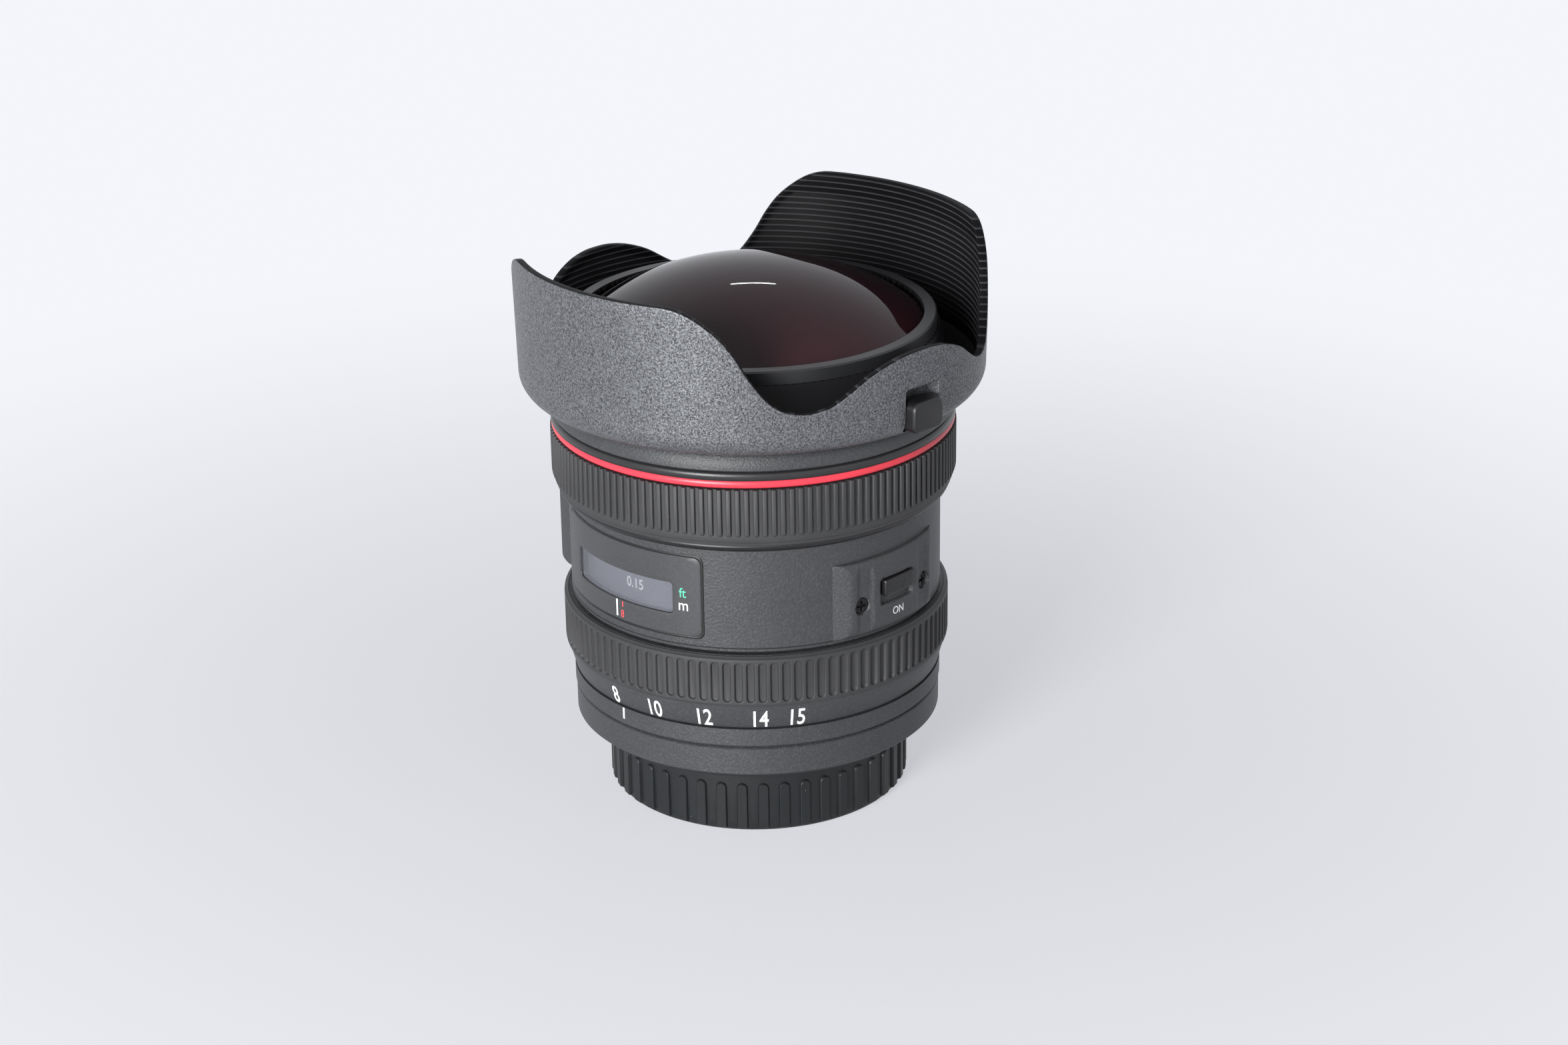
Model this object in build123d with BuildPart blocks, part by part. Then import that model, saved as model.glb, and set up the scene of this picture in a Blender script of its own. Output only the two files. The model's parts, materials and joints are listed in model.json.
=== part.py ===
"""Fisheye zoom lens standing on its rear cap, with its petal hood fitted.

+Z is the optical axis, towards the front glass. The origin is the centre of the cap's
flat bottom. Angles are counted about +Z from the index line at -Y towards +X.
"""

import os
from math import cos, degrees, radians, sin, sqrt

from build123d import *

os.makedirs("parts", exist_ok=True)

# Plays and seams
run_gap = 0.3
face_gap = 0.2
seam = 0.15
overrun = 2.0

# Rear cap
cap_radius = 29.35
cap_height = 13.9
cap_wall = 1.7
cap_floor = 1.6
cap_edge = 0.7
cap_rib_count = 45
cap_rib_width = 2.0
cap_rib_rise = 0.5
cap_rib_foot = 0.3
cap_rib_top = 10.4
cap_lug_reach = 1.5
cap_lug_height = 1.3
cap_lug_span = 46

# Metal bayonet mount
flange_lift = 0.3
flange_radius = 32.4
flange_thickness = 2.0
mount_tube_radius = 25.2
mount_tube_wall = 1.5
mount_tube_depth = 5.2
mount_tab_reach = 1.7
mount_tab_thickness = 1.5
mount_tab_span = 52
mount_tab_count = 3
lock_hole_radius = 1.7
mount_screw_count = 4
mount_screw_radius = 1.0
mount_screw_head = 1.9
mount_screw_head_depth = 0.9
mount_screw_length = 3.0
mount_screw_circle = 29.4
mount_screw_angle = 45
screw_fit = 0.02
seal_radius = 34.8
seal_height = 1.2

# Contacts and rear light baffle
contact_width = 2.6
contact_height = 3.4
contact_sink = 0.5
contact_span = 74
contact_pin_count = 8
contact_pin_radius = 0.55
contact_pin_rise = 0.4
contact_pin_pitch = 8.6
baffle_thickness = 1.2
baffle_opening_width = 26.0
baffle_opening_height = 20.0
baffle_corner = 2.0

# Rear barrel and fixed index ring
rim_lift = 1.4
rim_radius = 36.2
rim_height = 5.8
rim_floor = 1.4
rim_bore = 27.0
rim_edge = 0.35
groove_height = 0.3
groove_depth = 0.8
index_radius = 36.4
index_height = 3.75

# Guide tube, the spine of the lens
guide_radius = 32.6
guide_wall = 1.2
spine_flange_height = 1.2
spine_flange_drop = 1.4

# Zoom ring, its rubber and its cam barrel
band_foot_radius = 36.3
band_top_radius = 37.6
band_height = 2.85
zoom_ring_height = 15.55
zoom_core_radius = 36.9
zoom_grip_radius = 38.0
zoom_grip_height = 12.6
zoom_grip_edge = 0.9
zoom_grip_crown = 0.3
zoom_slot_count = 105
zoom_slot_width = 1.5
zoom_slot_length = 10.4
zoom_slot_depth = 0.55
zoom_slot_foot = 1.05
cam_wall = 1.2
cam_foot = 5.0
cam_head_gap = 0.2

# Rollers and the slots they run in
roller_radius = 1.35
slot_play = 0.3
roller_count = 3
zoom_turn_tele = 57.5
zoom_turn_wide = 3.9
rear_roller_lift = 9.0
rear_group_travel = 5.0
front_roller_lift = 19.4
front_group_travel = 2.0
focus_turn_far = 60.0
focus_turn_near = 5.0
focus_roller_drop = 5.2
focus_travel = 1.466

# Middle barrel with its window and panels
barrel_radius = 36.4
barrel_bore = 35.0
barrel_height = 21.1
score_lift = 0.8
score_height = 0.25
score_depth = 0.3
plate_half_span = 30.6
plate_foot = 2.5
plate_height = 16.7
plate_thickness = 0.7
plate_proud = 0.2
plate_corner = 1.2
window_half_span = 21.0
window_foot = 7.0
window_height = 6.2
window_corner = 0.8
pane_thickness = 1.1
pane_sink = 0.25

# Raised switch panels on the barrel's sides
panel_half_span = 22.1
panel_crest_span = 16.8
panel_crest_width = 1.0
panel_field_span = 14.6
panel_stage_span = 9.2
panel_field_drop = 0.45
panel_stage_edge = 0.7
panel_lip = 0.25
limit_angle = 91.9
limit_foot = 0.95
limit_height = 15.3
limit_radius = 38.0
limit_foot_run = 3.5
limit_head_run = 4.1
mode_angle = -69.0
mode_foot = 1.9
mode_height = 18.3
mode_radius = 39.1
mode_edge_run = 1.6
panel_screw_span = 13.2
panel_screw_lift = 6.3
panel_screw_well = 1.75
panel_screw_well_depth = 0.8
panel_screw_shaft = 0.7
panel_screw_head = 1.45
panel_screw_head_height = 0.6
switch_slot_width = 9.2
switch_slot_lift = 5.3
switch_slot_floor = 0.6
switch_slot_corner = 0.8
knob_width = 8.0
knob_height = 3.4
knob_rise = 0.5
knob_edge = 0.4
knob_travel = 1.7
knob_play = 0.2

# Focus ring and its rubber
focus_ring_height = 12.9
focus_ring_bore = 37.0
focus_core_radius = 38.2
focus_lip_radius = 38.6
focus_lip_height = 1.5
focus_lip_foot = 37.5
focus_lip_curl_share = 0.4
focus_grip_top = 0.1
focus_valley_radius = 38.95
focus_grip_radius = 39.45
focus_smooth_height = 1.9
focus_rib_count = 146
focus_rib_width = 0.95

# Distance drum and ring motor
drum_wall = 1.5
drum_height = 18.8
drum_lift = 2.8
motor_radius = 36.2
rotor_height = 2.0
stator_height = 3.5
stator_tooth_count = 40
stator_tooth_gap = 0.9
stator_tooth_depth = 1.0

# Front barrel, red ring, trim band and front ring
red_ring_radius = 39.2
red_ring_height = 1.55
trim_radius = 39.3
trim_height = 1.53
name_gap = 0.12
name_height = 4.2
sleeve_radius = 37.2
sleeve_wall = 1.4
front_floor_lift = 0.8
front_floor_height = 1.8
neck_radius = 37.6
neck_height = 7.8
neck_bore = 35.0
neck_step_height = 1.9
neck_step_width = 0.65
neck_head_height = 1.7
hood_lug_reach = 1.3
hood_lug_height = 1.5
hood_lug_span = 24
hood_lug_count = 3
front_ring_radius = 35.6
front_ring_bore = 33.2
front_ring_height = 2.6
front_ring_bevel = 0.3

# Front cell and front glass
glass_fit = 0.05
dome_sphere = 56.32
dome_apex = 106.6
dome_radius = 33.4
dome_rim_drop = 7.6
dome_hollow_radius = 21.0
dome_thickness = 3.4
cell_step_radius = 22.4
cell_floor_height = 1.1
cell_tail_radius = 19.6
cell_tail_bore = 17.4
cell_tail_length = 10.4
cell_lip = 1.4
second_rim_radius = 22.2
second_rim_height = 4.0
second_front_rise = 9.8
second_rear_radius = 13.5
second_rear_rise = 10.3
third_rim_radius = 17.2
third_rim_height = 4.6
third_front_rise = -1.6
third_rear_rise = -2.2

# Sliding groups
focus_cell_height = 8.8
focus_cell_bore = 17.0
focus_cell_wall = 1.6
focus_cell_lip = 1.2
focus_web_height = 2.0
focus_glass_height = 3.2
focus_glass_front_rise = 2.4
focus_glass_bond_rise = 1.6
focus_glass_rear_rise = 1.5
zoom_cell_top = 32.4
zoom_skirt_height = 15.4
zoom_skirt_wall = 1.4
zoom_disc_height = 7.0
zoom_cell_bore = 16.2
zoom_cell_lip = 1.2
zoom_glass_height = 2.6
zoom_glass_front_rise = 1.6
zoom_glass_bond_rise = -1.2
zoom_glass_rear_rise = -1.4
rear_cell_lift = 3.4
rear_cell_height = 11.0
rear_band_height = 8.0
rear_band_wall = 1.5
rear_web_height = 2.0
rear_tower_radius = 16.5
rear_cell_bore = 13.0
rear_cell_lip = 1.2
rear_glass_height = 4.2
rear_glass_front_rise = 2.2
rear_glass_bond_rise = 1.4
rear_glass_rear_rise = 1.8

# Iris
iris_radius = 26.0
iris_wall = 1.0
iris_floor_height = 1.1
iris_height = 5.3
iris_open_radius = 12.6
iris_blade_count = 7
blade_thickness = 0.2
blade_pitch = 0.28
blade_lift = 0.25
blade_outer_radius = 17.4
blade_span = 104
blade_pivot_radius = 18.5
blade_arm = 4.6
blade_arm_width = 2.0
blade_pin_radius = 0.4
blade_pin_play = 0.25
iris_ring_height = 1.0
iris_ring_bore = 20.6
iris_ring_lift = 0.3
blade_pin_sink = 0.8
iris_slot_reach = 1.5

# Circuit board
board_thickness = 1.0
board_radius = 30.4
board_bore = 22.4
chip_width = 5.0
chip_depth = 3.6
chip_height = 0.9
chip_count = 5
chip_spacing = 36

# Petal hood, its bayonet collar and its release button
hood_foot_radius = 41.0
hood_bowl_radius = 45.05
hood_bowl_height = 3.9
hood_bowl_bulge_share = 0.72
hood_rim_radius = 45.6
hood_wall = 1.65
hood_collar_wall = 1.9
hood_collar_height = 5.55
hood_floor_height = 1.5
hood_floor_lift = 1.0
hood_petal_height = 28.75
hood_valley_height = 8.55
hood_side_height = 16.7
hood_rib_count = 15
hood_rib_pitch = 1.2
hood_rib_depth = 0.35
hood_rib_head = 4.4
hood_notch_span = 30
hood_twist = 45
button_angle = 90.5
button_width = 7.0
button_height = 6.0
button_lift = 1.3
button_rise = 2.1
button_depth = 3.6
button_edge = 0.9
button_travel = 1.2
pocket_margin = 0.9
pocket_head = 2.4

# Places along the axis, from the floor upwards
flange_z = cap_height + flange_lift
flange_top = flange_z + flange_thickness
rim_z = flange_z + rim_lift
rim_top = rim_z + rim_height
rear_floor_top = flange_top + rim_floor
index_z = rim_top + groove_height
index_top = index_z + index_height
zoom_z = index_top + face_gap
zoom_grip_z = zoom_z + band_height
zoom_top = zoom_z + zoom_ring_height
barrel_z = zoom_top + face_gap
barrel_top = barrel_z + barrel_height
focus_z = barrel_top + face_gap
focus_top = focus_z + focus_ring_height
red_ring_z = focus_top + face_gap
trim_z = red_ring_z + red_ring_height
name_z = trim_z + trim_height + name_gap
name_top = name_z + name_height
spine_top = red_ring_z + front_floor_lift
front_floor_top = spine_top + front_floor_height
neck_top = name_top + neck_height
neck_step_z = neck_top + neck_step_height
neck_head_z = neck_step_z + neck_head_height
hood_z = name_top + face_gap

# Radii and widths that follow from the ones above
switch_slot_height = knob_height + knob_travel + 2 * knob_play
guide_bore = guide_radius - guide_wall
cam_bore = guide_radius + run_gap
cam_radius = cam_bore + cam_wall
drum_radius = cam_bore + drum_wall
group_radius = guide_bore - run_gap
roller_tip = cam_radius - run_gap
slot_radius = roller_radius + slot_play
neck_step_radius = neck_radius - neck_step_width
neck_head_radius = neck_step_radius - neck_step_width
hood_collar_bore = neck_radius + run_gap
hood_collar_radius = hood_collar_bore + hood_collar_wall


def polar(radius, angle):
    """Point in the XY plane at an angle counted from -Y towards +X."""
    return (radius * sin(radians(angle)), -radius * cos(radians(angle)))


def spherical_arc(rim_radius, rim_z, rise):
    """Half section of a lens surface, from the axis to its rim."""
    sphere = (rim_radius**2 + rise**2) / (2 * rise)
    half_rim = rim_radius / 2
    fall = abs(sphere) - sqrt(sphere**2 - half_rim**2)
    mid_z = rim_z + rise - (fall if rise > 0 else -fall)
    return ThreePointArc((0, rim_z + rise), (half_rim, mid_z), (rim_radius, rim_z))


def turned(points):
    """A piece turned on the axis from its half section of (radius, height) points."""
    with BuildPart() as piece:
        with BuildSketch(Plane.XZ):
            with BuildLine():
                Polyline(*points, close=True)
            make_face()
        revolve(axis=Axis.Z)
    return piece.part


def side_plane(angle, radius, height):
    """Plane that faces outwards at an angle, with its x axis along the tangent."""
    x, y = polar(radius, angle)
    outward = (sin(radians(angle)), -cos(radians(angle)), 0)
    tangent = (cos(radians(angle)), sin(radians(angle)), 0)
    return Plane(origin=(x, y, height), x_dir=tangent, z_dir=outward)


def sector(inner, outer, low, high, start, span):
    """Part of a ring between two heights and two angles."""
    with BuildPart() as piece:
        with BuildSketch(Plane.XY.offset(low)):
            with BuildLine():
                middle = start + span / 2
                end = start + span
                ThreePointArc(polar(outer, start), polar(outer, middle), polar(outer, end))
                Line(polar(outer, end), polar(inner, end))
                ThreePointArc(polar(inner, end), polar(inner, middle), polar(inner, start))
                Line(polar(inner, start), polar(outer, start))
            make_face()
        extrude(amount=high - low)
    return piece.part


def lens_element(rim_radius, rim_z, rim_height, front_rise, rear_rise, rear_radius):
    """A round glass element, its two faces given by how far each rises above its rim."""
    rim_top_z = rim_z + rim_height
    edge = [(rim_radius, rim_top_z), (rim_radius, rim_z)]
    if rear_radius < rim_radius:
        edge.append((rear_radius, rim_z))
    with BuildPart() as piece:
        with BuildSketch(Plane.XZ):
            with BuildLine():
                spherical_arc(rim_radius, rim_top_z, front_rise)
                Polyline(*edge)
                spherical_arc(rear_radius, rim_z, rear_rise)
                Line((0, rim_z + rear_rise), (0, rim_top_z + front_rise))
            make_face()
        revolve(axis=Axis.Z)
    return piece.part


def rollers(height, start):
    """Three radial rollers around a sliding cell."""
    with BuildPart() as piece:
        for index in range(roller_count):
            angle = start + index * 360 / roller_count
            with BuildSketch(side_plane(angle, group_radius, height)):
                Circle(roller_radius)
            extrude(amount=roller_tip - group_radius)
    return piece.part


def straight_slots(height, low, high, start):
    """Cutters for the slots along the axis that the rollers run in."""
    length = high - low + 2 * slot_radius
    middle = height + (low + high) / 2
    with BuildPart() as piece:
        for index in range(roller_count):
            angle = start + index * 360 / roller_count
            with BuildSketch(side_plane(angle, guide_bore - overrun, middle)):
                SlotOverall(length, 2 * slot_radius, rotation=90)
            extrude(amount=guide_wall + 2 * overrun)
    return piece.part


def cam_slot(height, start, before, after, rise):
    """Cutter for one helical slot: it rises by the travel while it runs round."""
    mean_radius = (cam_bore + drum_radius) / 2
    depth = drum_wall + 2 * overrun
    pitch = abs(rise) * 360 / after
    turn = before + after
    first = height - rise * before / after
    low = min(first, height + rise)
    with BuildPart() as piece:
        with BuildLine(Plane.XY.offset(low)) as path:
            Helix(pitch, pitch * turn / 360, mean_radius, lefthand=rise < 0)
        with BuildSketch(Plane(origin=path.line @ 0, x_dir=(1, 0, 0), z_dir=path.line % 0)):
            Rectangle(depth, 2 * slot_radius)
        sweep(path=path.line, is_frenet=True)
        for angle, end_z in ((90, low), (90 + turn * (1 if rise > 0 else -1), low + pitch * turn / 360)):
            with BuildSketch(side_plane(angle, mean_radius - depth / 2, end_z)):
                Circle(slot_radius)
            extrude(amount=depth)
    lowest = start - before if rise > 0 else start + after
    return piece.part.rotate(Axis.Z, lowest - 90)


def save(part, label):
    """Name a finished part and write its file."""
    part.label = label
    export_step(part, f"parts/{label}.step")


# Rear cap: a ribbed cup with three inner lugs
cap_bore = cap_radius - cap_wall
with BuildPart() as rear_cap:
    with BuildSketch(Plane.XZ):
        with BuildLine():
            Polyline(
                (0, 0),
                (cap_radius - cap_edge, 0),
                (cap_radius, cap_edge),
                (cap_radius, cap_height),
                (cap_bore, cap_height),
                (cap_bore, cap_floor),
                (0, cap_floor),
                close=True,
            )
        make_face()
    revolve(axis=Axis.Z)
    with BuildPart(mode=Mode.PRIVATE) as cap_rib:
        with BuildSketch(side_plane(0, cap_radius - cap_edge, 0)):
            with Locations((0, (cap_rib_foot + cap_rib_top) / 2)):
                SlotOverall(cap_rib_top - cap_rib_foot, cap_rib_width, rotation=90)
            with Locations((0, (cap_rib_foot + cap_rib_width) / 2)):
                Rectangle(cap_rib_width, cap_rib_width - cap_rib_foot)
        extrude(amount=cap_edge + cap_rib_rise)
    with PolarLocations(0, cap_rib_count):
        add(cap_rib.part)
mount_tab_z = flange_z - mount_tube_depth
cap_lug_z = mount_tab_z + mount_tab_thickness + run_gap
cap_lugs = [
    sector(cap_bore - cap_lug_reach, cap_bore + cap_wall / 2, cap_lug_z, cap_lug_z + cap_lug_height,
           index * 360 / mount_tab_count - cap_lug_span / 2, cap_lug_span)
    for index in range(mount_tab_count)
]
with BuildPart() as capped:
    add(rear_cap.part)
    for lug in cap_lugs:
        add(lug)
save(capped.part, "rear_cap")

# Metal bayonet mount
mount_bore = mount_tube_radius - mount_tube_wall
mount_turning = turned([
    (mount_bore, mount_tab_z), (mount_tube_radius, mount_tab_z), (mount_tube_radius, flange_z),
    (flange_radius, flange_z), (flange_radius, flange_top), (mount_bore, flange_top),
])
screw_angles = [mount_screw_angle + index * 360 / mount_screw_count for index in range(mount_screw_count)]
with BuildPart() as mount_bayonet:
    add(mount_turning)
    for index in range(mount_tab_count):
        tab = sector(mount_tube_radius - mount_tube_wall / 2, mount_tube_radius + mount_tab_reach,
                     mount_tab_z,
                     mount_tab_z + mount_tab_thickness, index * 360 / mount_tab_count - mount_tab_span / 2,
                     mount_tab_span)
        add(tab)
    with Locations([(*polar(mount_screw_circle, angle), flange_z) for angle in screw_angles]):
        Cylinder(mount_screw_radius + screw_fit, flange_thickness, mode=Mode.SUBTRACT,
                 align=(Align.CENTER, Align.CENTER, Align.MIN))
        Cone(mount_screw_head + screw_fit, mount_screw_radius + screw_fit, mount_screw_head_depth,
             mode=Mode.SUBTRACT, align=(Align.CENTER, Align.CENTER, Align.MIN))
    with Locations((*polar(mount_screw_circle, 0), flange_z)):
        Cylinder(lock_hole_radius, flange_thickness, mode=Mode.SUBTRACT,
                 align=(Align.CENTER, Align.CENTER, Align.MIN))
save(mount_bayonet.part, "mount_bayonet")

with BuildPart() as mount_screws:
    with Locations([(*polar(mount_screw_circle, angle), flange_z) for angle in screw_angles]):
        Cylinder(mount_screw_radius, mount_screw_length, align=(Align.CENTER, Align.CENTER, Align.MIN))
        Cone(mount_screw_head, mount_screw_radius, mount_screw_head_depth,
             align=(Align.CENTER, Align.CENTER, Align.MIN))
save(mount_screws.part, "mount_screws")

# Rubber seal under the rim
save(turned([
    (flange_radius + seam, rim_z), (flange_radius + seam, rim_z - seal_height),
    (seal_radius - seal_height / 2, rim_z - seal_height), (seal_radius, rim_z),
]), "mount_seal")

# Contact block and its pins
contact_z = mount_tab_z - contact_sink
contact_block = sector(mount_bore - contact_width, mount_bore, contact_z, contact_z + contact_height,
                       180 - contact_span / 2, contact_span)
save(contact_block, "contact_block")
pin_circle = mount_bore - contact_width / 2
pin_start = 180 - contact_pin_pitch * (contact_pin_count - 1) / 2
with BuildPart() as contact_pins:
    with Locations([
        (*polar(pin_circle, pin_start + index * contact_pin_pitch), contact_z - contact_pin_rise)
        for index in range(contact_pin_count)
    ]):
        Cylinder(contact_pin_radius, contact_pin_rise, align=(Align.CENTER, Align.CENTER, Align.MIN))
save(contact_pins.part, "contact_pins")

# Rear light baffle
baffle_z = contact_z + contact_height
with BuildPart() as rear_baffle:
    with BuildSketch(Plane.XY.offset(baffle_z)):
        Circle(mount_bore)
        RectangleRounded(baffle_opening_width, baffle_opening_height, baffle_corner, mode=Mode.SUBTRACT)
    extrude(amount=baffle_thickness)
save(rear_baffle.part, "rear_baffle")

# Rear barrel, drilled for the mount's screws
neck_inner = cam_radius
rear_turning = turned([
    (rim_bore, flange_top), (flange_radius, flange_top), (flange_radius, rim_z),
    (rim_radius - rim_edge, rim_z), (rim_radius, rim_z + rim_edge), (rim_radius, rim_top - rim_edge),
    (rim_radius - rim_edge, rim_top), (rim_radius - groove_depth, rim_top),
    (rim_radius - groove_depth, index_z), (neck_inner, index_z), (neck_inner, rear_floor_top),
    (rim_bore, rear_floor_top),
])
with BuildPart() as rear_barrel:
    add(rear_turning)
    with Locations([(*polar(mount_screw_circle, angle), flange_top) for angle in screw_angles]):
        Cylinder(mount_screw_radius + screw_fit, rim_floor, mode=Mode.SUBTRACT,
                 align=(Align.CENTER, Align.CENTER, Align.MIN))
save(rear_barrel.part, "rear_barrel")

# Fixed ring that carries the index line
index_bore = cam_radius + run_gap
save(turned([
    (index_bore, index_z), (index_radius - rim_edge, index_z), (index_radius, index_z + rim_edge),
    (index_radius, index_top), (index_bore, index_top),
]), "index_ring")

# Circuit board with its chips
with BuildPart() as circuit_board:
    with BuildSketch(Plane.XY.offset(rear_floor_top)):
        Circle(board_radius)
        Circle(board_bore, mode=Mode.SUBTRACT)
    extrude(amount=board_thickness)
    chip_circle = (board_radius + board_bore) / 2
    for index in range(chip_count):
        x, y = polar(chip_circle, index * chip_spacing)
        with Locations(Location((x, y, rear_floor_top + board_thickness), (0, 0, index * chip_spacing))):
            Box(chip_width, chip_depth, chip_height, align=(Align.CENTER, Align.CENTER, Align.MIN))
save(circuit_board.part, "circuit_board")

# Guide tube with its straight slots and two flanges
spine_flange_z = barrel_z + spine_flange_drop
drum_z = barrel_z + drum_lift
drum_top = drum_z + drum_height
rotor_z = drum_top
stator_z = rotor_z + rotor_height + face_gap
stator_top = stator_z + stator_height
motor_flange_radius = focus_ring_bore - run_gap
rear_roller_z = rear_floor_top + rear_roller_lift
front_roller_z = rear_floor_top + front_roller_lift
focus_roller_z = drum_top - focus_roller_drop
rear_before = rear_group_travel * zoom_turn_wide / zoom_turn_tele
front_before = front_group_travel * zoom_turn_wide / zoom_turn_tele
focus_before = focus_travel * focus_turn_near / focus_turn_far
half_step = 180 / roller_count
guide_turning = turned([
    (guide_bore, rear_floor_top), (guide_radius, rear_floor_top), (guide_radius, spine_flange_z),
    (barrel_bore, spine_flange_z), (barrel_bore, spine_flange_z + spine_flange_height),
    (guide_radius, spine_flange_z + spine_flange_height), (guide_radius, stator_top),
    (motor_flange_radius, stator_top), (motor_flange_radius, stator_top + spine_flange_height),
    (guide_radius, stator_top + spine_flange_height), (guide_radius, spine_top), (guide_bore, spine_top),
])
with BuildPart() as guide_tube:
    add(guide_turning)
    add(straight_slots(rear_roller_z, -rear_before, rear_group_travel, 0), mode=Mode.SUBTRACT)
    add(straight_slots(front_roller_z, -front_before, front_group_travel, half_step), mode=Mode.SUBTRACT)
    add(straight_slots(focus_roller_z, -focus_before, focus_travel, 0), mode=Mode.SUBTRACT)
save(guide_tube.part, "guide_tube")

# Zoom ring, its rubber grip and its cam barrel
save(turned([
    (cam_radius, zoom_z), (band_foot_radius - rim_edge, zoom_z), (band_foot_radius, zoom_z + rim_edge),
    (band_top_radius, zoom_grip_z), (zoom_core_radius, zoom_grip_z), (zoom_core_radius, zoom_top),
    (cam_radius, zoom_top),
]), "zoom_ring")

zoom_grip_top = zoom_grip_z + zoom_grip_height
zoom_sleeve = turned([
    (zoom_core_radius, zoom_grip_z), (band_top_radius, zoom_grip_z),
    (zoom_grip_radius, zoom_grip_z + zoom_grip_edge), (zoom_grip_radius, zoom_grip_top - zoom_grip_edge),
    (band_top_radius, zoom_grip_top - zoom_grip_crown), (band_top_radius - zoom_grip_crown, zoom_grip_top),
    (zoom_core_radius, zoom_grip_top),
])
with BuildPart() as zoom_pocket:
    slot_middle = zoom_grip_z + zoom_slot_foot + zoom_slot_length / 2
    with BuildSketch(side_plane(0, zoom_grip_radius - zoom_slot_depth, slot_middle)):
        SlotOverall(zoom_slot_length, zoom_slot_width, rotation=90)
    extrude(amount=zoom_slot_depth + overrun)
with BuildPart() as zoom_grip:
    add(zoom_sleeve)
    with PolarLocations(0, zoom_slot_count):
        add(zoom_pocket.part, mode=Mode.SUBTRACT)
save(zoom_grip.part, "zoom_grip")

cam_z = rear_floor_top + cam_foot
cam_top = zoom_top - cam_head_gap
cam_turning = turned([(cam_bore, cam_z), (cam_radius, cam_z), (cam_radius, cam_top), (cam_bore, cam_top)])
with BuildPart() as cam_barrel:
    add(cam_turning)
    for index in range(roller_count):
        rear_start = index * 360 / roller_count
        front_start = rear_start + half_step
        add(cam_slot(rear_roller_z, rear_start, zoom_turn_wide, zoom_turn_tele, rear_group_travel),
            mode=Mode.SUBTRACT)
        add(cam_slot(front_roller_z, front_start, zoom_turn_wide, zoom_turn_tele, front_group_travel),
            mode=Mode.SUBTRACT)
save(cam_barrel.part, "cam_barrel")

# Middle barrel with the window opening and the scale plate's recess
plate_z = barrel_z + plate_foot
window_z = barrel_z + window_foot
plate_seat = barrel_radius + plate_proud - plate_thickness
pane_seat = plate_seat - pane_thickness + pane_sink


def wrapped_plate(inner, outer, low, height, half_span, corner, play):
    """Curved plate centred on the index line, its rounded corners seen square on."""
    width = 2 * (outer * sin(radians(half_span)) + play)
    with BuildPart() as piece:
        with BuildSketch(Plane.XY.offset(low - play)):
            Circle(outer)
            Circle(inner, mode=Mode.SUBTRACT)
        extrude(amount=height + 2 * play)
        with BuildSketch(side_plane(0, 0, low + height / 2)):
            RectangleRounded(width, height + 2 * play, corner + play)
        extrude(amount=outer + overrun, mode=Mode.INTERSECT)
    return piece.part


barrel_turning = turned([
    (barrel_bore, barrel_z), (barrel_radius - rim_edge, barrel_z), (barrel_radius, barrel_z + rim_edge),
    (barrel_radius, barrel_z + score_lift),
    (barrel_radius - score_depth, barrel_z + score_lift + score_height / 2),
    (barrel_radius, barrel_z + score_lift + score_height), (barrel_radius, barrel_top - rim_edge),
    (barrel_radius - rim_edge, barrel_top), (barrel_bore, barrel_top),
])
plate_cut = wrapped_plate(plate_seat, barrel_radius + overrun, plate_z, plate_height, plate_half_span,
                          plate_corner, seam)
pane_cut = wrapped_plate(barrel_bore - overrun, barrel_radius + overrun, window_z, window_height,
                         window_half_span, window_corner, 0)
with BuildPart() as middle_barrel:
    add(barrel_turning)
    add(plate_cut, mode=Mode.SUBTRACT)
    add(pane_cut, mode=Mode.SUBTRACT)
save(middle_barrel.part, "middle_barrel")

plate_blank = wrapped_plate(plate_seat, barrel_radius + plate_proud, plate_z, plate_height, plate_half_span,
                            plate_corner, 0)
with BuildPart() as scale_plate:
    add(plate_blank)
    add(pane_cut, mode=Mode.SUBTRACT)
save(scale_plate.part, "scale_plate")
save(wrapped_plate(pane_seat, pane_seat + pane_thickness, window_z, window_height, window_half_span,
                   window_corner, 0), "scale_window")


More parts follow.
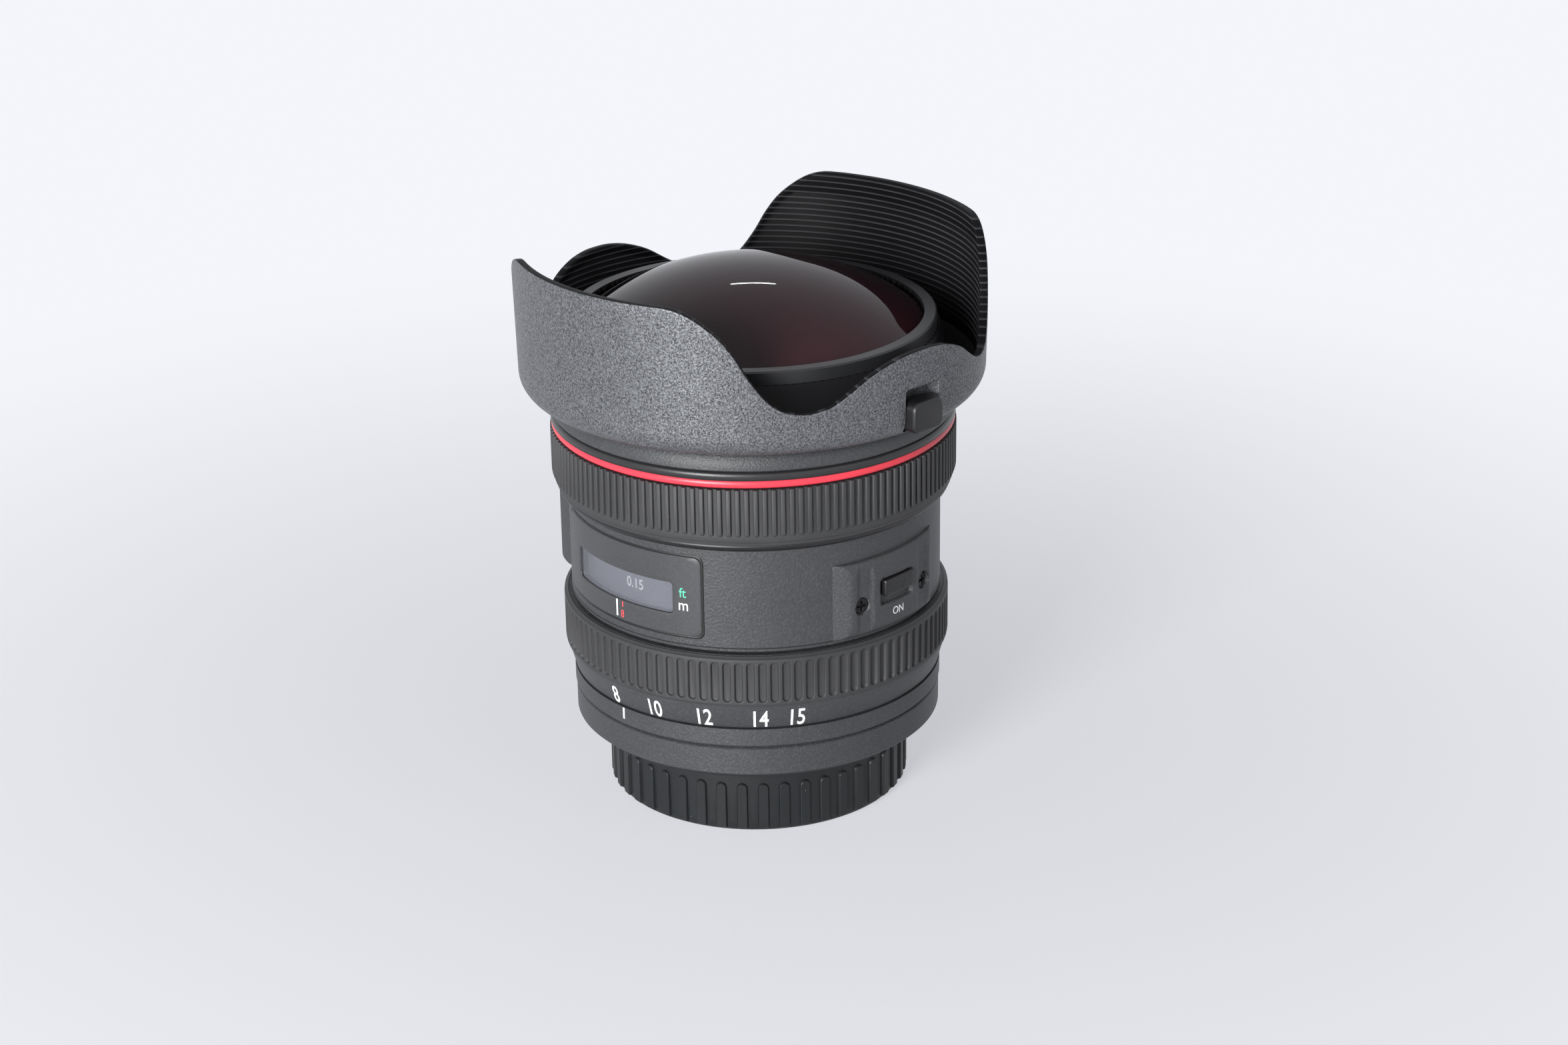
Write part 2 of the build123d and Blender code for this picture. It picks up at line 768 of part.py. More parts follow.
# Raised switch panels: crests at both ends, a screw field and a stage for the switch
def switch_panel(angle, low, height, radius, foot_run, head_run):
    """Panel for a sliding switch, seated on the barrel, whose face swells from its foot and its head."""
    field_radius = radius - panel_field_drop
    crest_start = panel_crest_span
    crest_end = panel_crest_span - degrees(panel_crest_width / radius)
    stage_foot_span = panel_stage_span + degrees(panel_stage_edge / radius)
    half = [
        polar(field_radius, stage_foot_span), polar(field_radius, panel_field_span),
        polar(radius, crest_end), polar(radius, crest_start),
        polar(barrel_radius, panel_half_span),
    ]
    mirrored = [(-x, y) for x, y in half]
    switch_z = low + switch_slot_lift + switch_slot_height / 2
    slot_floor = barrel_radius + switch_slot_floor
    lip_radius = barrel_radius + panel_lip
    swell = radius + seam - lip_radius
    swell_start, swell_end = low + foot_run, low + height - head_run
    with BuildPart() as piece:
        with BuildSketch(Plane.XY.offset(low)):
            with BuildLine():
                ThreePointArc(polar(radius, -panel_stage_span), polar(radius, 0),
                              polar(radius, panel_stage_span))
                for side, sign in ((half, 1), (mirrored, -1)):
                    middle_field = sign * (stage_foot_span + panel_field_span) / 2
                    Line(polar(radius, sign * panel_stage_span), side[0])
                    ThreePointArc(side[0], polar(field_radius, middle_field), side[1])
                    Polyline(side[1], side[2], side[3], side[4])
                ThreePointArc(mirrored[4], polar(barrel_radius, 0), half[4])
            make_face()
        extrude(amount=height)
        with BuildSketch(Plane.XZ):
            with BuildLine():
                Polyline((0, low), (lip_radius, low))
                EllipticalCenterArc((lip_radius, swell_start), swell, foot_run, start_angle=-90, arc_size=90)
                Line((lip_radius + swell, swell_start), (lip_radius + swell, swell_end))
                EllipticalCenterArc((lip_radius, swell_end), swell, head_run, start_angle=0, arc_size=90)
                Polyline((lip_radius, low + height), (0, low + height), (0, low))
            make_face()
        revolve(axis=Axis.Z, mode=Mode.INTERSECT)
        with BuildSketch(side_plane(0, slot_floor, switch_z)):
            RectangleRounded(switch_slot_width, switch_slot_height, switch_slot_corner)
        extrude(amount=radius, mode=Mode.SUBTRACT)
        for side in (-panel_screw_span, panel_screw_span):
            with BuildSketch(side_plane(side, field_radius - panel_screw_well_depth,
                                        low + panel_screw_lift)):
                Circle(panel_screw_well)
            extrude(amount=radius, mode=Mode.SUBTRACT)
            with BuildSketch(side_plane(side, barrel_radius, low + panel_screw_lift)):
                Circle(panel_screw_shaft + screw_fit)
            extrude(amount=radius - barrel_radius, mode=Mode.SUBTRACT)
    return piece.part.rotate(Axis.Z, angle)


def switch_knob(angle, low, radius):
    """Sliding knob, at rest at the head of its slot."""
    slot_floor = barrel_radius + switch_slot_floor
    knob_top_z = low + switch_slot_lift + switch_slot_height - knob_play
    with BuildPart() as piece:
        with BuildSketch(side_plane(0, slot_floor + knob_play / 2, knob_top_z - knob_height / 2)):
            RectangleRounded(knob_width, knob_height, knob_edge)
        extrude(amount=radius + knob_rise - slot_floor)
        fillet(piece.faces().sort_by(Axis.Y)[0].edges(), knob_edge / 2)
    return piece.part.rotate(Axis.Z, angle)


limit_z = barrel_z + limit_foot
mode_z = barrel_z + mode_foot
save(switch_panel(limit_angle, limit_z, limit_height, limit_radius, limit_foot_run, limit_head_run),
     "limit_panel")
save(switch_panel(mode_angle, mode_z, mode_height, mode_radius, mode_edge_run, mode_edge_run), "mode_panel")
save(switch_knob(limit_angle, limit_z, limit_radius), "limit_knob")
save(switch_knob(mode_angle, mode_z, mode_radius), "mode_knob")

with BuildPart() as panel_screws:
    for angle, low, radius in ((limit_angle, limit_z, limit_radius), (mode_angle, mode_z, mode_radius)):
        well_floor = radius - panel_field_drop - panel_screw_well_depth
        for side in (-panel_screw_span, panel_screw_span):
            with BuildSketch(side_plane(angle + side, barrel_radius + screw_fit, low + panel_screw_lift)):
                Circle(panel_screw_shaft)
            extrude(amount=well_floor - barrel_radius)
            with BuildSketch(side_plane(angle + side, well_floor, low + panel_screw_lift)):
                Circle(panel_screw_head)
            extrude(amount=panel_screw_head_height)
save(panel_screws.part, "panel_screws")

# Focus ring and its ribbed rubber
focus_lip_z = focus_z + focus_lip_height
save(turned([
    (focus_ring_bore, focus_z), (focus_lip_foot, focus_z),
    ((focus_lip_foot + focus_lip_radius) / 2 + rim_edge / 2,
     focus_z + focus_lip_height * focus_lip_curl_share),
    (focus_lip_radius, focus_lip_z), (focus_core_radius, focus_lip_z), (focus_core_radius, focus_top),
    (focus_ring_bore, focus_top),
]), "focus_ring")

grip_z = focus_lip_z
grip_top = focus_top - focus_grip_top
rib_z = grip_z + focus_smooth_height
focus_sleeve = turned([
    (focus_core_radius, grip_z), (focus_lip_radius, grip_z),
    (focus_valley_radius, grip_z + focus_smooth_height / 2),
    (focus_valley_radius, grip_top), (focus_core_radius, grip_top),
])
with BuildPart() as focus_grip:
    add(focus_sleeve)
    with BuildSketch(Plane.XY.offset(rib_z)):
        with PolarLocations((focus_valley_radius + focus_grip_radius) / 2 - seam / 2, focus_rib_count):
            Rectangle(focus_grip_radius - focus_valley_radius + seam, focus_rib_width)
    extrude(amount=grip_top - rib_z)
save(focus_grip.part, "focus_grip")

# Distance drum with the slots that drive the focus cell
drum_turning = turned([(cam_bore, drum_z), (drum_radius, drum_z), (drum_radius, drum_top),
                       (cam_bore, drum_top)])
with BuildPart() as distance_drum:
    add(drum_turning)
    for index in range(roller_count):
        add(cam_slot(focus_roller_z, index * 360 / roller_count, focus_turn_far, focus_turn_near,
                     -focus_before),
            mode=Mode.SUBTRACT)
save(distance_drum.part, "distance_drum")

# Ring motor: the toothed stator on its flange and the rotor on the drum
save(turned([
    (cam_bore, rotor_z), (motor_radius, rotor_z), (motor_radius, rotor_z + rotor_height),
    (cam_bore, rotor_z + rotor_height),
]), "motor_rotor")
stator_turning = turned([
    (guide_radius, stator_z), (motor_radius, stator_z), (motor_radius, stator_top),
    (guide_radius, stator_top),
])
with BuildPart() as motor_stator:
    add(stator_turning)
    with BuildSketch(Plane.XY.offset(stator_z)):
        with PolarLocations(motor_radius, stator_tooth_count):
            Rectangle(motor_radius - guide_radius, stator_tooth_gap)
    extrude(amount=stator_tooth_depth, mode=Mode.SUBTRACT)
save(motor_stator.part, "motor_stator")

# Front barrel with the name band, the stepped neck and the hood lugs
front_turning = turned([
    (guide_bore, spine_top), (sleeve_radius - sleeve_wall, spine_top),
    (sleeve_radius - sleeve_wall, red_ring_z),
    (sleeve_radius, red_ring_z), (sleeve_radius, name_z), (trim_radius - rim_edge, name_z),
    (trim_radius, name_z + rim_edge), (trim_radius, name_top), (neck_radius, name_top),
    (neck_radius, neck_top),
    (neck_step_radius, neck_top), (neck_step_radius, neck_step_z), (neck_head_radius, neck_step_z),
    (neck_head_radius, neck_head_z), (neck_bore, neck_head_z), (neck_bore, front_floor_top),
    (guide_bore, front_floor_top),
])
hood_lug_z = hood_z + hood_collar_height + run_gap
with BuildPart() as front_barrel:
    add(front_turning)
    for index in range(hood_lug_count):
        lug = sector(neck_radius - neck_step_width, neck_radius + hood_lug_reach, hood_lug_z,
                     hood_lug_z + hood_lug_height, index * 360 / hood_lug_count - hood_lug_span / 2,
                     hood_lug_span)
        add(lug)
save(front_barrel.part, "front_barrel")

save(turned([
    (sleeve_radius, red_ring_z), (red_ring_radius - rim_edge, red_ring_z),
    (red_ring_radius, red_ring_z + rim_edge),
    (red_ring_radius, trim_z), (sleeve_radius, trim_z),
]), "red_ring")
trim_top = trim_z + trim_height
save(turned([
    (sleeve_radius, trim_z), (trim_radius, trim_z), (trim_radius, trim_top - rim_edge),
    (trim_radius - rim_edge, trim_top), (sleeve_radius, trim_top),
]), "trim_band")

# Front glass
dome_centre_z = dome_apex - dome_sphere
dome_rim_top = dome_centre_z + sqrt(dome_sphere**2 - dome_radius**2)
dome_rim_z = dome_rim_top - dome_rim_drop
save(lens_element(dome_radius, dome_rim_z, dome_rim_drop, dome_apex - dome_rim_top,
                  dome_apex - dome_thickness - dome_rim_z, dome_hollow_radius), "front_element")

# Front cell with its tail, and the two elements behind the front glass
cell_floor_z = front_floor_top + cell_floor_height
cell_tail_z = cell_floor_z - cell_tail_length
front_ring_z = neck_head_z
save(turned([
    (dome_radius + glass_fit, front_ring_z - glass_fit), (dome_radius + glass_fit, dome_rim_z),
    (cell_step_radius, dome_rim_z), (cell_step_radius, cell_floor_z), (cell_tail_bore, cell_floor_z),
    (cell_tail_bore, cell_tail_z + cell_lip), (cell_tail_bore - cell_lip, cell_tail_z + cell_lip),
    (cell_tail_bore - cell_lip, cell_tail_z), (cell_tail_radius, cell_tail_z),
    (cell_tail_radius, front_floor_top), (neck_bore, front_floor_top),
    (neck_bore, front_ring_z - glass_fit),
]), "front_cell")
save(lens_element(second_rim_radius, cell_floor_z, second_rim_height, second_front_rise, second_rear_rise,
                  second_rear_radius), "second_element")
save(lens_element(third_rim_radius, cell_tail_z + cell_lip, third_rim_height, third_front_rise,
                  third_rear_rise,
                  cell_tail_bore - cell_lip), "third_element")

front_ring_top = front_ring_z + front_ring_height
glass_head_z = dome_centre_z + sqrt(dome_sphere**2 - front_ring_bore**2) + glass_fit
save(turned([
    (dome_radius + glass_fit, front_ring_z), (front_ring_radius, front_ring_z),
    (front_ring_radius, front_ring_top - front_ring_bevel),
    (front_ring_radius - front_ring_bevel, front_ring_top),
    (front_ring_bore, front_ring_top), (front_ring_bore, glass_head_z),
    (dome_radius + glass_fit, glass_head_z),
]), "front_ring")

# Focus group: a cell with a cemented pair, and its rollers
focus_cell_z = focus_roller_z - focus_cell_height / 2
focus_glass_z = focus_cell_z + focus_cell_lip
focus_bond_z = focus_glass_z + focus_glass_height
save(turned([
    (focus_cell_bore - focus_cell_lip, focus_cell_z), (group_radius, focus_cell_z),
    (group_radius, focus_cell_z + focus_cell_height),
    (group_radius - focus_cell_wall, focus_cell_z + focus_cell_height),
    (group_radius - focus_cell_wall, focus_cell_z + focus_web_height),
    (focus_cell_bore + focus_cell_wall, focus_cell_z + focus_web_height),
    (focus_cell_bore + focus_cell_wall, focus_cell_z + focus_cell_height),
    (focus_cell_bore, focus_cell_z + focus_cell_height), (focus_cell_bore, focus_glass_z),
    (focus_cell_bore - focus_cell_lip, focus_glass_z),
]), "focus_cell")
save(lens_element(focus_cell_bore, focus_glass_z, focus_glass_height, focus_glass_bond_rise,
                  focus_glass_rear_rise, focus_cell_bore - focus_cell_lip), "focus_element_rear")
save(lens_element(focus_cell_bore, focus_bond_z, focus_glass_height, focus_glass_front_rise,
                  focus_glass_bond_rise, focus_cell_bore), "focus_element_front")
save(rollers(focus_roller_z, 0), "focus_rollers")

# Front zoom group: a skirted cell with a cemented pair, and its rollers
zoom_cell_head = rear_floor_top + zoom_cell_top
zoom_disc_z = zoom_cell_head - zoom_disc_height
zoom_skirt_z = zoom_cell_head - zoom_skirt_height
zoom_glass_z = zoom_disc_z + zoom_cell_lip
zoom_bond_z = zoom_glass_z + zoom_glass_height
save(turned([
    (group_radius - zoom_skirt_wall, zoom_skirt_z), (group_radius, zoom_skirt_z),
    (group_radius, zoom_cell_head), (zoom_cell_bore, zoom_cell_head), (zoom_cell_bore, zoom_glass_z),
    (zoom_cell_bore - zoom_cell_lip, zoom_glass_z), (zoom_cell_bore - zoom_cell_lip, zoom_disc_z),
    (group_radius - zoom_skirt_wall, zoom_disc_z),
]), "zoom_front_cell")
save(lens_element(zoom_cell_bore, zoom_glass_z, zoom_glass_height, zoom_glass_bond_rise,
                  zoom_glass_rear_rise, zoom_cell_bore - zoom_cell_lip), "zoom_element_rear")
save(lens_element(zoom_cell_bore, zoom_bond_z, zoom_glass_height, zoom_glass_front_rise,
                  zoom_glass_bond_rise, zoom_cell_bore), "zoom_element_front")
save(rollers(front_roller_z, half_step), "zoom_front_rollers")

# Rear zoom group: a cell with a cemented pair, and its rollers
rear_cell_z = rear_floor_top + rear_cell_lift
rear_cell_top = rear_cell_z + rear_cell_height
rear_web_z = rear_roller_z - rear_web_height / 2
rear_glass_z = rear_cell_z + rear_cell_lip
rear_bond_z = rear_glass_z + rear_glass_height
with BuildPart() as zoom_rear_cell:
    with BuildSketch(Plane.XZ):
        with Locations(((rear_cell_bore + rear_tower_radius) / 2, rear_cell_z)):
            Rectangle(rear_tower_radius - rear_cell_bore, rear_cell_height, align=(Align.CENTER, Align.MIN))
        with Locations((rear_cell_bore - rear_cell_lip, rear_cell_z)):
            Rectangle(rear_tower_radius - rear_cell_bore, rear_cell_lip, align=(Align.MIN, Align.MIN))
        with Locations((rear_cell_bore, rear_web_z)):
            Rectangle(group_radius - rear_cell_bore, rear_web_height, align=(Align.MIN, Align.MIN))
        with Locations((group_radius, rear_cell_z)):
            Rectangle(rear_band_wall, rear_band_height, align=(Align.MAX, Align.MIN))
    revolve(axis=Axis.Z)
save(zoom_rear_cell.part, "zoom_rear_cell")
save(lens_element(rear_cell_bore, rear_glass_z, rear_glass_height, rear_glass_bond_rise,
                  rear_glass_rear_rise, rear_cell_bore - rear_cell_lip), "rear_element_rear")
save(lens_element(rear_cell_bore, rear_bond_z, rear_glass_height, rear_glass_front_rise,
                  rear_glass_bond_rise, rear_cell_bore), "rear_element_front")
save(rollers(rear_roller_z, 0), "zoom_rear_rollers")

# Iris: base, crescent blades stacked above it, and the ring that drives them
iris_floor_top = rear_cell_top + iris_floor_height
blades_z = iris_floor_top + blade_lift
blades_top = blades_z + blade_pitch * (iris_blade_count - 1) + blade_thickness
iris_ring_z = blades_top + iris_ring_lift
drive_radius = blade_pivot_radius + blade_arm
blade_step = 360 / iris_blade_count
with BuildPart() as iris_base:
    with BuildSketch(Plane.XY.offset(rear_cell_top)):
        Circle(iris_radius)
        Circle(rear_cell_bore, mode=Mode.SUBTRACT)
        with PolarLocations(blade_pivot_radius, iris_blade_count, start_angle=-90):
            Circle(blade_pin_radius + blade_pin_play, mode=Mode.SUBTRACT)
    extrude(amount=iris_floor_height)
    with BuildSketch(Plane.XY.offset(iris_floor_top)):
        Circle(iris_radius)
        Circle(iris_radius - iris_wall, mode=Mode.SUBTRACT)
    extrude(amount=iris_height - iris_floor_height)
save(iris_base.part, "iris_base")

with BuildPart() as iris_ring:
    with BuildSketch(Plane.XY.offset(iris_ring_z)):
        Circle(iris_radius - iris_wall - run_gap)
        Circle(iris_ring_bore, mode=Mode.SUBTRACT)
        slot_width = 2 * (blade_pin_radius + blade_pin_play)
        with PolarLocations(drive_radius - blade_pin_radius / 2, iris_blade_count, start_angle=-90):
            SlotOverall(iris_slot_reach + blade_pin_radius, slot_width, mode=Mode.SUBTRACT)
    extrude(amount=iris_ring_height)
save(iris_ring.part, "iris_ring")

for index in range(iris_blade_count):
    blade_angle = index * blade_step
    blade_z = blades_z + index * blade_pitch
    crescent = sector(iris_open_radius, blade_outer_radius, blade_z, blade_z + blade_thickness,
                      blade_angle, blade_span)
    with BuildPart() as iris_blade:
        add(crescent)
        arm_start = (iris_open_radius + blade_outer_radius) / 2
        with BuildSketch(Plane.XY.offset(blade_z)):
            with Locations(Location((*polar((arm_start + drive_radius) / 2, blade_angle), 0),
                                    (0, 0, blade_angle - 90))):
                SlotOverall(drive_radius - arm_start + blade_arm_width, blade_arm_width)
        extrude(amount=blade_thickness)
        with Locations((*polar(blade_pivot_radius, blade_angle), iris_floor_top - blade_pin_sink)):
            Cylinder(blade_pin_radius, blade_z - iris_floor_top + blade_pin_sink,
                     align=(Align.CENTER, Align.CENTER, Align.MIN))
        with Locations((*polar(drive_radius, blade_angle), blade_z)):
            Cylinder(blade_pin_radius, iris_ring_z + blade_pin_sink - blade_z,
                     align=(Align.CENTER, Align.CENTER, Align.MIN))
    save(iris_blade.part, f"iris_blade_{index + 1}")

# Petal hood: angles and shares of the fall and the rise of its rim over one quarter
petal_fall_shares = [(0, 0), (6, 0), (12, 0), (18, 0), (23, 0), (27.5, 0.008), (31.5, 0.055), (35.5, 0.15),
                     (39.5, 0.285), (42.6, 0.445), (45.7, 0.65), (49.7, 0.855), (53, 0.95), (56.5, 0.992),
                     (60, 1)]
petal_rise_shares = [(64.8, 0.1), (69.2, 0.33), (74.7, 0.66), (80.7, 0.885), (86, 0.985)]
petal_fall = hood_petal_height - hood_valley_height
petal_rise = hood_side_height - hood_valley_height
quarter = [(angle, hood_z + hood_petal_height - share * petal_fall) for angle, share in petal_fall_shares]
quarter += [(angle, hood_z + hood_valley_height + share * petal_rise) for angle, share in petal_rise_shares]
side_rim = [(90, hood_z + hood_side_height)]
half_rim = quarter + side_rim + [(180 - angle, height) for angle, height in reversed(quarter)]
rim_line = half_rim + [(360 - angle, height) for angle, height in reversed(half_rim[1:-1])]


def rim_curve(radius):
    """The rim's closed wave, drawn at a radius."""
    with BuildLine() as curve:
        Spline(*[(*polar(radius, angle), height) for angle, height in rim_line], periodic=True)
    return curve.edge()


hood_top = hood_z + hood_petal_height
hood_wall_z = hood_z + hood_bowl_height
hood_floor_z = hood_z + hood_floor_lift + hood_floor_height
hood_lean = (hood_rim_radius - hood_bowl_radius) / (hood_top - hood_wall_z)


def hood_inner(height):
    """Radius of the hood's leaning inner wall at a height."""
    return hood_bowl_radius + hood_lean * (height - hood_wall_z) - hood_wall


rib_points = []
for index in range(hood_rib_count):
    rib_head = hood_top - hood_rib_head - index * hood_rib_pitch
    rib_points.append((hood_inner(rib_head), rib_head))
    rib_points.append((hood_inner(rib_head) + hood_rib_depth, rib_head))
ribs_foot = hood_top - hood_rib_head - hood_rib_count * hood_rib_pitch
bowl_width = hood_bowl_radius - hood_foot_radius
bowl_middle = (hood_foot_radius + bowl_width * hood_bowl_bulge_share,
               hood_z + hood_bowl_height * (1 - hood_bowl_bulge_share))
with BuildPart() as hood:
    with BuildSketch(Plane.XZ):
        with BuildLine():
            ThreePointArc((hood_foot_radius, hood_z), bowl_middle, (hood_bowl_radius, hood_wall_z))
            Polyline(
                (hood_bowl_radius, hood_wall_z),
                (hood_bowl_radius + hood_lean * (hood_petal_height + overrun - hood_bowl_height),
                 hood_top + overrun),
                (hood_inner(hood_top + overrun), hood_top + overrun),
                *rib_points,
                (hood_inner(ribs_foot), ribs_foot),
                (hood_inner(hood_wall_z), hood_wall_z),
                (hood_inner(hood_wall_z) - hood_wall, hood_floor_z),
                (hood_collar_radius, hood_floor_z),
                (hood_collar_radius, hood_z + hood_collar_height),
                (hood_collar_bore, hood_z + hood_collar_height),
                (hood_collar_bore, hood_z),
                (hood_foot_radius, hood_z),
            )
        make_face()
    revolve(axis=Axis.Z)
    rim_surface = Face.make_surface_from_curves(rim_curve(hood_collar_bore),
                                                rim_curve(hood_rim_radius + overrun))
    split(bisect_by=rim_surface, keep=Keep.TOP)
button_z = hood_z + button_lift
pocket_z = button_z - face_gap
pocket_height = button_height + face_gap + pocket_head
pocket_width = button_width + 2 * pocket_margin
button_face = hood_bowl_radius + button_rise
pocket_floor = button_face - button_depth - button_travel - run_gap
with BuildPart() as button_house:
    with BuildSketch(side_plane(0, pocket_floor - hood_wall / 2, pocket_z + pocket_height / 2)):
        Rectangle(pocket_width + 2 * hood_wall, pocket_height + hood_wall)
    extrude(amount=hood_bowl_radius - hood_wall - pocket_floor + hood_wall / 2)
with BuildPart() as button_pocket:
    with BuildSketch(side_plane(0, pocket_floor, pocket_z + pocket_height / 2)):
        RectangleRounded(pocket_width, pocket_height, button_edge)
    extrude(amount=button_face + overrun - pocket_floor)
house = button_house.part.rotate(Axis.Z, button_angle)
pocket = button_pocket.part.rotate(Axis.Z, button_angle)
with BuildPart() as hood_body:
    add(hood.part)
    add(house)
    add(pocket, mode=Mode.SUBTRACT)
    for index in range(hood_lug_count):
        notch_middle = index * 360 / hood_lug_count + hood_twist
        notch = sector(hood_collar_bore - overrun, neck_radius + hood_lug_reach + run_gap, hood_z - overrun,
                       hood_z + hood_collar_height + overrun, notch_middle - hood_notch_span / 2,
                       hood_notch_span)
        add(notch, mode=Mode.SUBTRACT)
save(hood_body.part, "hood")

# Release button in the hood's pocket
with BuildPart() as hood_button:
    with BuildSketch(side_plane(0, button_face - button_depth, button_z + button_height / 2)):
        RectangleRounded(button_width, button_height, button_edge)
    extrude(amount=button_depth)
    fillet(hood_button.faces().sort_by(Axis.Y)[0].edges(), button_edge / 2)
save(hood_button.part.rotate(Axis.Z, button_angle), "hood_button")
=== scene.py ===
"""Fisheye zoom lens: its finishes, glass, rubber grips and scales, in a plain pale studio."""
import json
from functools import lru_cache
from math import asin, cos, degrees, hypot, pi, radians, sin, sqrt

import bmesh
import bpy
from mathutils import Matrix, Vector
from mathutils.bvhtree import BVHTree

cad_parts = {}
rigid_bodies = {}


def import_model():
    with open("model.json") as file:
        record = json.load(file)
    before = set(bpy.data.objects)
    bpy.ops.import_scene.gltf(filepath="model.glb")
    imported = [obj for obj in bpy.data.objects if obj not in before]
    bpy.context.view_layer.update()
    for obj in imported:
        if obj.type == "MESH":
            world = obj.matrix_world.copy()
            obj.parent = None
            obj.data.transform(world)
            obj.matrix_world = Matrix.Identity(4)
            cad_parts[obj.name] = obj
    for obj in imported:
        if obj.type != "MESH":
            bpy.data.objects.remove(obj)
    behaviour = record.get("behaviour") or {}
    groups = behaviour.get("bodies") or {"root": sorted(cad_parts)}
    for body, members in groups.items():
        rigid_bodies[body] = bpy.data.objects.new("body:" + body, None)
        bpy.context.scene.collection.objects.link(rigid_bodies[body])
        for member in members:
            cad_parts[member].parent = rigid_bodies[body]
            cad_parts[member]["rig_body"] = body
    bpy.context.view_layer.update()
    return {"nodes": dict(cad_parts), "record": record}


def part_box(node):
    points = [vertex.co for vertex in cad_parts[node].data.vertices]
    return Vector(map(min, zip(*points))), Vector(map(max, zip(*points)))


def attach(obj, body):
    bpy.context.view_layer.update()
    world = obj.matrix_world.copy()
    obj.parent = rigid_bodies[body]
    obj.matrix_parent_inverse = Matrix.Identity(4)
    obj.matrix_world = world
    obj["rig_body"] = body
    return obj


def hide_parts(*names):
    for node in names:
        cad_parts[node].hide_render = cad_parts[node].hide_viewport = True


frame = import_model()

bl_info = {
    "name": "Fisheye Zoom Lens",
    "version": (1, 0, 0),
    "blender": (4, 5, 0),
    "location": "View3D > Sidebar > Lens",
    "description": "Dresses a fisheye zoom lens and sets up a plain studio around it",
    "category": "Object",
}

MM = 0.001
WELD = 0.001 * MM           # points that lie closer are joined
LONGEST_STROKE = 0.8 * MM   # edges of printed figures are cut down to this, so that they bend
RAY_START = 60 * MM         # outside the whole lens


@lru_cache(maxsize=None)
def box(node):
    """Lowest and highest corner of a CAD node."""
    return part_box(node)


def top(node):
    """Highest point of a CAD node."""
    return box(node)[1].z


def foot(node):
    """Lowest point of a CAD node."""
    return box(node)[0].z


def span(node):
    """Lowest and highest point of a CAD node."""
    return foot(node), top(node)


def reach(node):
    """Outer radius of a round CAD node."""
    return box(node)[1].x


def distance(name, about, value):
    """A length property."""
    return bpy.props.FloatProperty(name=name, description=about, default=value, min=0, subtype="DISTANCE",
                                   unit="LENGTH", precision=5)


def angle(name, about, value):
    """An angle property, written here in degrees."""
    return bpy.props.FloatProperty(name=name, description=about, default=radians(value), subtype="ANGLE",
                                   unit="ROTATION")


def tint(name, about, value):
    """A colour property."""
    return bpy.props.FloatVectorProperty(name=name, description=about, default=value, size=3, min=0, max=1,
                                         subtype="COLOR")


class LensColours(bpy.types.PropertyGroup):
    """Colours of the lens."""

    paint: tint("Crinkle paint", "Textured paint of the barrels", (0.036, 0.037, 0.0395))
    shell: tint("Hood shell", "Outside of the petal hood", (0.024, 0.025, 0.028))
    # flake colour: the hood's metal flakes, whose pale colour is also painted sparkle
    flake_and_painted_sparkle: tint("Hood flakes", "Fine bright flakes in the hood's outside", (0.36, 0.37, 0.39))
    lining: tint("Black lining", "Inside of the hood and the neck", (0.003, 0.003, 0.0035))
    rubber: tint("Rubber", "Focus and zoom grips", (0.034, 0.0345, 0.036))
    cap: tint("Rear cap", "Moulded rear cap", (0.009, 0.0105, 0.0115))
    red: tint("Red ring", "Painted ring in front of the focus ring", (0.76, 0.045, 0.070))
    mark: tint("Marks", "White numbers and index lines", (0.85, 0.86, 0.86))
    mark_green: tint("Green marks", "Feet on the distance scale", (0.10, 0.62, 0.38))
    mark_red: tint("Red marks", "Infrared mark", (0.85, 0.08, 0.08))
    glass: tint("Glass tint", "Tint of the coated front glass", (0.030, 0.040, 0.042))
    plum: tint("Glass edge", "Paint behind the front glass, on the index side", (0.017, 0.010, 0.0135))
    # wine colour: a painted reflection of the coating, laid on the front glass towards one side, not paint behind
    # the glass
    wine: tint("Glass edge, far side", "Paint behind the front glass, on the other side", (0.046, 0.012, 0.017))
    floor: tint("Floor", "Plain floor", (0.74, 0.74, 0.79))


class LensSizes(bpy.types.PropertyGroup):
    """Sizes and counts of the lens's repeated and printed features."""

    cap_ribs: bpy.props.IntProperty(name="Cap ribs", description="Ribs around the rear cap", default=45, min=3)
    cap_rib_width: distance("Cap rib width", "Width of one rib of the cap", 2.0 * MM)
    zoom_pockets: bpy.props.IntProperty(name="Zoom pockets", description="Pockets around the zoom grip",
                                        default=105, min=3)
    pocket_width: distance("Pocket width", "Width of one pocket of the zoom grip", 1.5 * MM)
    pocket_depth: distance("Pocket depth", "Depth of one pocket of the zoom grip", 0.55 * MM)
    focus_ribs: bpy.props.IntProperty(name="Focus ribs", description="Ribs around the focus grip", default=146,
                                      min=3)
    focus_rib_width: distance("Focus rib width", "Width of one rib of the focus grip", 1.0 * MM)
    cone_run: distance("Cone run", "How far the numbered cone runs on under the zoom grip's foot", 2.2 * MM)
    digit_height: distance("Digit height", "Height of the focal lengths", 3.8 * MM)
    print_height: distance("Print height", "Thickness of printed marks", 0.02 * MM)


